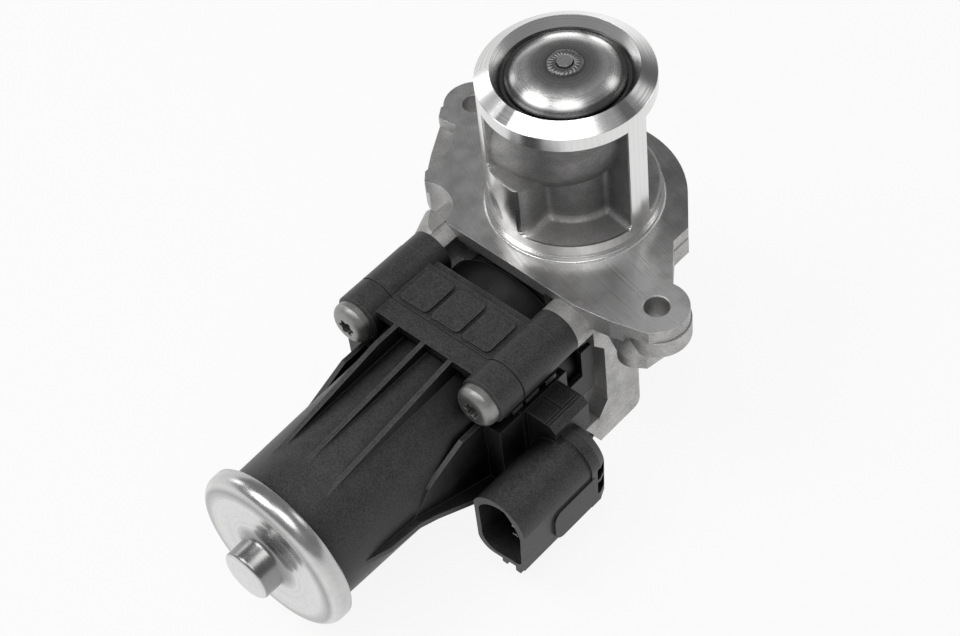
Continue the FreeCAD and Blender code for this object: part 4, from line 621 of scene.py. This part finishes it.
class VALVE_OT_weld_bead(bpy.types.Operator):
    """Adds the rippled weld bead round the stem on the poppet disc"""

    bl_idname = "valve.weld_bead"
    bl_label = "Weld bead"

    def execute(self, context):
        sizes = context.scene.valve_pieces
        mesh = bmesh.new()
        circle = bmesh.ops.create_circle(mesh, segments=WELD_SIDES, radius=1.0)["verts"]
        middle = (sizes.weld_radius + sizes.weld_bore) / 2
        half = (sizes.weld_radius - sizes.weld_bore) / 2
        rise = COLLAR_HIGH.z - COLLAR_LOW.z
        bmesh.ops.scale(mesh, verts=circle, vec=(half, rise, 1.0))
        stand = Matrix.Rotation(math.pi / 2, 4, "X")
        out = Matrix.Translation((middle, 0, COLLAR_LOW.z))
        bmesh.ops.transform(mesh, matrix=out @ stand, verts=circle)
        bmesh.ops.spin(mesh, geom=mesh.verts[:] + mesh.edges[:], cent=(0, 0, 0), axis=(0, 0, 1),
                       angle=math.tau, steps=sizes.weld_beads * WELD_STEPS_PER_BEAD, use_merge=True)
        for vert in mesh.verts:
            turn = math.atan2(vert.co.y, vert.co.x)
            far = math.hypot(vert.co.x, vert.co.y)
            across = (far - middle) / half
            scale = abs(math.sin(turn * sizes.weld_beads / 2 + 1.3 * across * across))
            lump = 0.5 * math.sin(3 * turn + 0.4) + 0.3 * math.sin(7 * turn + 1.9)
            if vert.co.z > COLLAR_LOW.z:
                part = 0.72 + 0.22 * scale + 0.05 * lump
                vert.co.z = COLLAR_LOW.z + (vert.co.z - COLLAR_LOW.z) * part
            if across > 0:
                swell = 1.0 + across * (0.05 * lump - 0.03 * (1 - scale))
                vert.co.x *= swell
                vert.co.y *= swell
            vert.co.z = max(vert.co.z, COLLAR_LOW.z - WELD_SINK)
        bead = finish_piece(mesh, "weld_bead_ring", "valve", finish_named("weld_bead"))
        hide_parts("stem_collar")
        return {"FINISHED"}


class VALVE_OT_motor_cap(bpy.types.Operator):
    """Replaces the plain motor cap by one with its drawn steps and wide round edge"""

    bl_idname = "valve.motor_cap"
    bl_label = "Motor cap"

    def execute(self, context):
        sizes = context.scene.valve_pieces
        low, high = CAP_LOW, CAP_HIGH
        radius = (high.x - low.x) / 2
        face = low.y + STUB_H
        wall = CAP_WALL
        edge = sizes.cap_edge
        profile = [(0.0, low.y), (STUB_R - STUB_EDGE, low.y)]
        profile += arc_points(STUB_R - STUB_EDGE, low.y + STUB_EDGE, STUB_EDGE, -90, 0, 5)
        profile += [(STUB_R, face - 1.7 * MM), (STUB_R + 0.25 * MM, face - 0.9 * MM),
                    (STUB_R + 1.0 * MM, face - 0.35 * MM), (STUB_R + 2.2 * MM, face - 0.05 * MM),
                    (CAP_FLAT_R, face)]
        for step in CAP_STEPS:
            profile += [(step, face), (step + 0.5 * MM, face + CAP_STEP_RISE),
                        (step + 0.9 * MM, face + CAP_STEP_RISE), (step + 1.4 * MM, face)]
        profile += arc_points(radius - edge, face + edge, edge, -90, 0, 12)
        profile += [(radius, high.y - CAP_RIM_CHAMFER), (radius - CAP_RIM_CHAMFER, high.y),
                    (radius - wall, high.y), (radius - wall, face + 1.7 * MM),
                    (radius - wall - 0.4 * MM, face + wall + 0.2 * MM),
                    (STUB_BORE_R, face + wall), (STUB_BORE_R, low.y + wall), (0.0, low.y + wall)]
        mesh = bmesh.new()
        verts = [mesh.verts.new((far, along, MOTOR_AXIS_Z)) for far, along in profile]
        edges = [mesh.edges.new(pair) for pair in zip(verts, verts[1:])]
        bmesh.ops.spin(mesh, geom=verts + edges, cent=(0, 0, MOTOR_AXIS_Z), axis=(0, 1, 0),
                       angle=math.tau, steps=sizes.cap_sides, use_merge=True)
        bmesh.ops.remove_doubles(mesh, verts=mesh.verts, dist=SAME_POINT)
        cap = finish_piece(mesh, "drawn_cap", "body", finish_named("bright_zinc"))
        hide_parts("motor_cap")
        return {"FINISHED"}


class VALVE_OT_foot_fillet(bpy.types.Operator):
    """Adds the small fillet where the spigot's foot meets the milled face"""

    bl_idname = "valve.foot_fillet"
    bl_label = "Foot fillet"

    def execute(self, context):
        radius = context.scene.valve_pieces.foot_fillet
        profile = arc_points(FOOT_R + radius, radius, radius, 180, 270, 6) + [(FOOT_R - FOOT_OVERLAP, 0.0)]
        mesh = bmesh.new()
        verts = [mesh.verts.new((far, 0.0, height)) for far, height in profile]
        edges = [mesh.edges.new(pair) for pair in zip(verts, verts[1:] + verts[:1])]
        bmesh.ops.spin(mesh, geom=verts + edges, cent=(0, 0, 0), axis=(0, 0, 1),
                       angle=math.tau, steps=FOOT_STEPS, use_merge=True)
        finish_piece(mesh, "foot_fillet", "body", finish_named("polished_foot"))
        return {"FINISHED"}


class VALVE_OT_small_plates(bpy.types.Operator):
    """Adds the latch door, its ridge and rear plate, and the pads beside the upper boss"""

    bl_idname = "valve.small_plates"
    bl_label = "Small plates"

    def execute(self, context):
        rise = context.scene.valve_pieces.plate_rise
        for name, low, high, corner in SMALL_PLATES:
            mesh = bmesh.new()
            bmesh.ops.create_cube(mesh, size=1.0)
            size = [(b - a) * MM for a, b in zip(low, high)]
            middle = [(a + b) / 2 * MM for a, b in zip(low, high)]
            for axis in range(3):
                if size[axis] < FLAT_SIDE:
                    size[axis] = 2 * rise
            bmesh.ops.scale(mesh, verts=mesh.verts, vec=size)
            bmesh.ops.translate(mesh, verts=mesh.verts, vec=middle)
            bmesh.ops.bevel(mesh, geom=mesh.edges[:], offset=corner * MM, affect="EDGES", segments=2,
                            profile=0.5, material=-1)
            finish_piece(mesh, name, "body", finish_named("black_moulding"), smooth=False)
        return {"FINISHED"}


class VALVE_OT_spring(bpy.types.Operator):
    """Replaces the return spring by a coil of round wire"""

    bl_idname = "valve.spring"
    bl_label = "Return spring"

    def execute(self, context):
        sizes = context.scene.valve_pieces
        wire = sizes.spring_wire
        turns = sizes.spring_turns
        runs = int(turns * SPRING_STEPS_PER_TURN)
        middle = (SPRING_HIGH.x - SPRING_LOW.x) / 2 - wire
        low, high = SPRING_LOW.z + wire, SPRING_HIGH.z - wire
        mesh = bmesh.new()
        loops = []
        for index in range(runs + 1):
            turn = math.tau * turns * index / runs
            height = low + (high - low) * index / runs
            loop = []
            for side in range(SPRING_SIDES):
                angle = math.tau * side / SPRING_SIDES
                far = middle + wire * math.cos(angle)
                loop.append(mesh.verts.new(
                    (far * math.cos(turn), far * math.sin(turn), height + wire * math.sin(angle))))
            loops.append(loop)
        for first, second in zip(loops, loops[1:]):
            for side in range(SPRING_SIDES):
                after = (side + 1) % SPRING_SIDES
                mesh.faces.new((first[side], first[after], second[after], second[side]))
        mesh.faces.new(loops[0])
        mesh.faces.new(list(reversed(loops[-1])))
        coil = finish_piece(mesh, "spring_coil", "body", finish_named("drawn_spring_steel"))
        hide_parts("return_spring")
        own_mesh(coil)
        return {"FINISHED"}


class VALVE_OT_stage(bpy.types.Operator):
    """Adds the floor, the lights and the camera"""

    bl_idname = "valve.stage"
    bl_label = "Stage"

    def execute(self, context):
        stage = context.scene.valve_stage
        self.add_floor(stage)
        self.add_lights(stage)
        self.add_camera(context)
        context.scene.view_settings.view_transform = "Standard"
        return {"FINISHED"}

    def add_floor(self, stage):
        """Round floor with a low upright backdrop round its edge."""
        mesh = bmesh.new()
        disc = bmesh.ops.create_circle(mesh, cap_ends=True, segments=FLOOR_SIDES, radius=stage.floor_radius)
        rim = disc["verts"]
        bmesh.ops.translate(mesh, verts=rim, vec=(0, 0, BODY_LOW.z - FLOOR_GAP))
        edges = [edge for edge in mesh.edges if edge.is_boundary]
        wall = bmesh.ops.extrude_edge_only(mesh, edges=edges)["geom"]
        raised = [item for item in wall if isinstance(item, bmesh.types.BMVert)]
        bmesh.ops.translate(mesh, verts=raised, vec=(0, 0, stage.backdrop_height))
        data = bpy.data.meshes.new("floor")
        mesh.to_mesh(data)
        mesh.free()
        floor = bpy.data.objects.new("floor", data)
        bpy.context.scene.collection.objects.link(floor)
        material, tree, shader, _ = start_finish("pale_floor", (0.9, 0.9, 0.9), 0.0, 0.9)
        path = tree.nodes.new("ShaderNodeLightPath")
        seen = math_node(tree, "MAXIMUM", path.outputs["Is Camera Ray"], path.outputs["Is Glossy Ray"])
        seen = math_node(tree, "MAXIMUM", seen, path.outputs["Is Transmission Ray"])
        glow = add_node(tree, "ShaderNodeEmission", sockets={"Color": (1, 1, 1, 1), "Strength": 1.0})
        mix = add_node(tree, "ShaderNodeMixShader", sockets={"Fac": math_node(tree, "MULTIPLY", seen, 0.9)})
        tree.links.new(shader.outputs[0], mix.inputs[1])
        tree.links.new(glow.outputs[0], mix.inputs[2])
        tree.links.new(mix.outputs[0], tree.nodes["Material Output"].inputs["Surface"])
        data.materials.append(material)

    def add_lights(self, stage):
        """Soft lights, each at an azimuth and elevation in degrees, with its size."""
        lamps = (
            ("key_light", -42.0, 73.0, 0.55, stage.key_power),
            ("side_light", -138.0, 57.0, 0.50, stage.side_power),
            ("low_light", -178.0, 22.0, 0.30, stage.low_power),
            ("back_light", 70.0, 40.0, 0.26, stage.back_power),
        )
        target = Vector(LAMP_TARGET)
        for name, azimuth, elevation, size, power in lamps:
            turn, tilt = math.radians(azimuth), math.radians(elevation)
            way = Vector((math.cos(turn) * math.cos(tilt), math.sin(turn) * math.cos(tilt), math.sin(tilt)))
            lamp = bpy.data.lights.new(name, "AREA")
            lamp.shape = "DISK"
            lamp.size = size
            lamp.energy = power
            holder = bpy.data.objects.new(name, lamp)
            holder.location = target + way * LAMP_DISTANCE
            holder.rotation_euler = (-way).to_track_quat("-Z", "Y").to_euler()
            bpy.context.scene.collection.objects.link(holder)
        world = bpy.data.worlds.new("studio")
        bpy.context.scene.world = world
        world.use_nodes = True
        back = world.node_tree.nodes["Background"]
        back.inputs["Color"].default_value = (1, 1, 1, 1)
        back.inputs["Strength"].default_value = stage.world_level

    def add_camera(self, context):
        """Camera from its azimuth, elevation and roll, set off to the side of the origin."""
        turn, tilt, roll = (math.radians(value) for value in (CAMERA_AZIMUTH, CAMERA_ELEVATION, CAMERA_ROLL))
        ahead = Vector((-math.sin(turn) * math.cos(tilt), math.cos(turn) * math.cos(tilt), -math.sin(tilt)))
        level = Vector((math.cos(turn), math.sin(turn), 0.0))
        up = level.cross(ahead)
        across = level * math.cos(roll) - up * math.sin(roll)
        rise = up * math.cos(roll) + level * math.sin(roll)
        spot = -(across * CAMERA_SIDE + rise * CAMERA_RISE + ahead * CAMERA_DISTANCE)
        data = bpy.data.cameras.new("camera")
        data.lens = CAMERA_LENS_MM
        data.sensor_width = 36.0
        data.sensor_fit = "HORIZONTAL"
        data.clip_start = 0.01
        camera = bpy.data.objects.new("camera", data)
        camera.matrix_world = Matrix.Translation(spot) @ Matrix((across, rise, -ahead)).transposed().to_4x4()
        context.scene.collection.objects.link(camera)
        context.scene.camera = camera


class VALVE_PT_panel(bpy.types.Panel):
    """Settings and steps of the valve scene"""

    bl_idname = "VALVE_PT_panel"
    bl_label = "Valve"
    bl_space_type = "VIEW_3D"
    bl_region_type = "UI"
    bl_category = "Valve"

    def draw(self, context):
        layout = self.layout
        for group in (context.scene.valve_finish, context.scene.valve_pieces, context.scene.valve_stage):
            column = layout.column(align=True)
            for name in group.__annotations__:
                column.prop(group, name)
        for step in STEPS:
            layout.operator(step.bl_idname)


STEPS = (
    VALVE_OT_finishes, VALVE_OT_weld_bead, VALVE_OT_motor_cap, VALVE_OT_foot_fillet,
    VALVE_OT_small_plates, VALVE_OT_spring, VALVE_OT_stage,
)
CLASSES = (ValveFinishSettings, ValvePieceSettings, ValveStageSettings) + STEPS + (VALVE_PT_panel,)


def register():
    for item in CLASSES:
        bpy.utils.register_class(item)
    bpy.types.Scene.valve_finish = PointerProperty(type=ValveFinishSettings)
    bpy.types.Scene.valve_pieces = PointerProperty(type=ValvePieceSettings)
    bpy.types.Scene.valve_stage = PointerProperty(type=ValveStageSettings)


def unregister():
    del bpy.types.Scene.valve_stage
    del bpy.types.Scene.valve_pieces
    del bpy.types.Scene.valve_finish
    for item in reversed(CLASSES):
        bpy.utils.unregister_class(item)


def main():
    register()
    for step in STEPS:
        group, name = step.bl_idname.split(".")
        getattr(getattr(bpy.ops, group), name)()


if __name__ == "__main__":
    main()
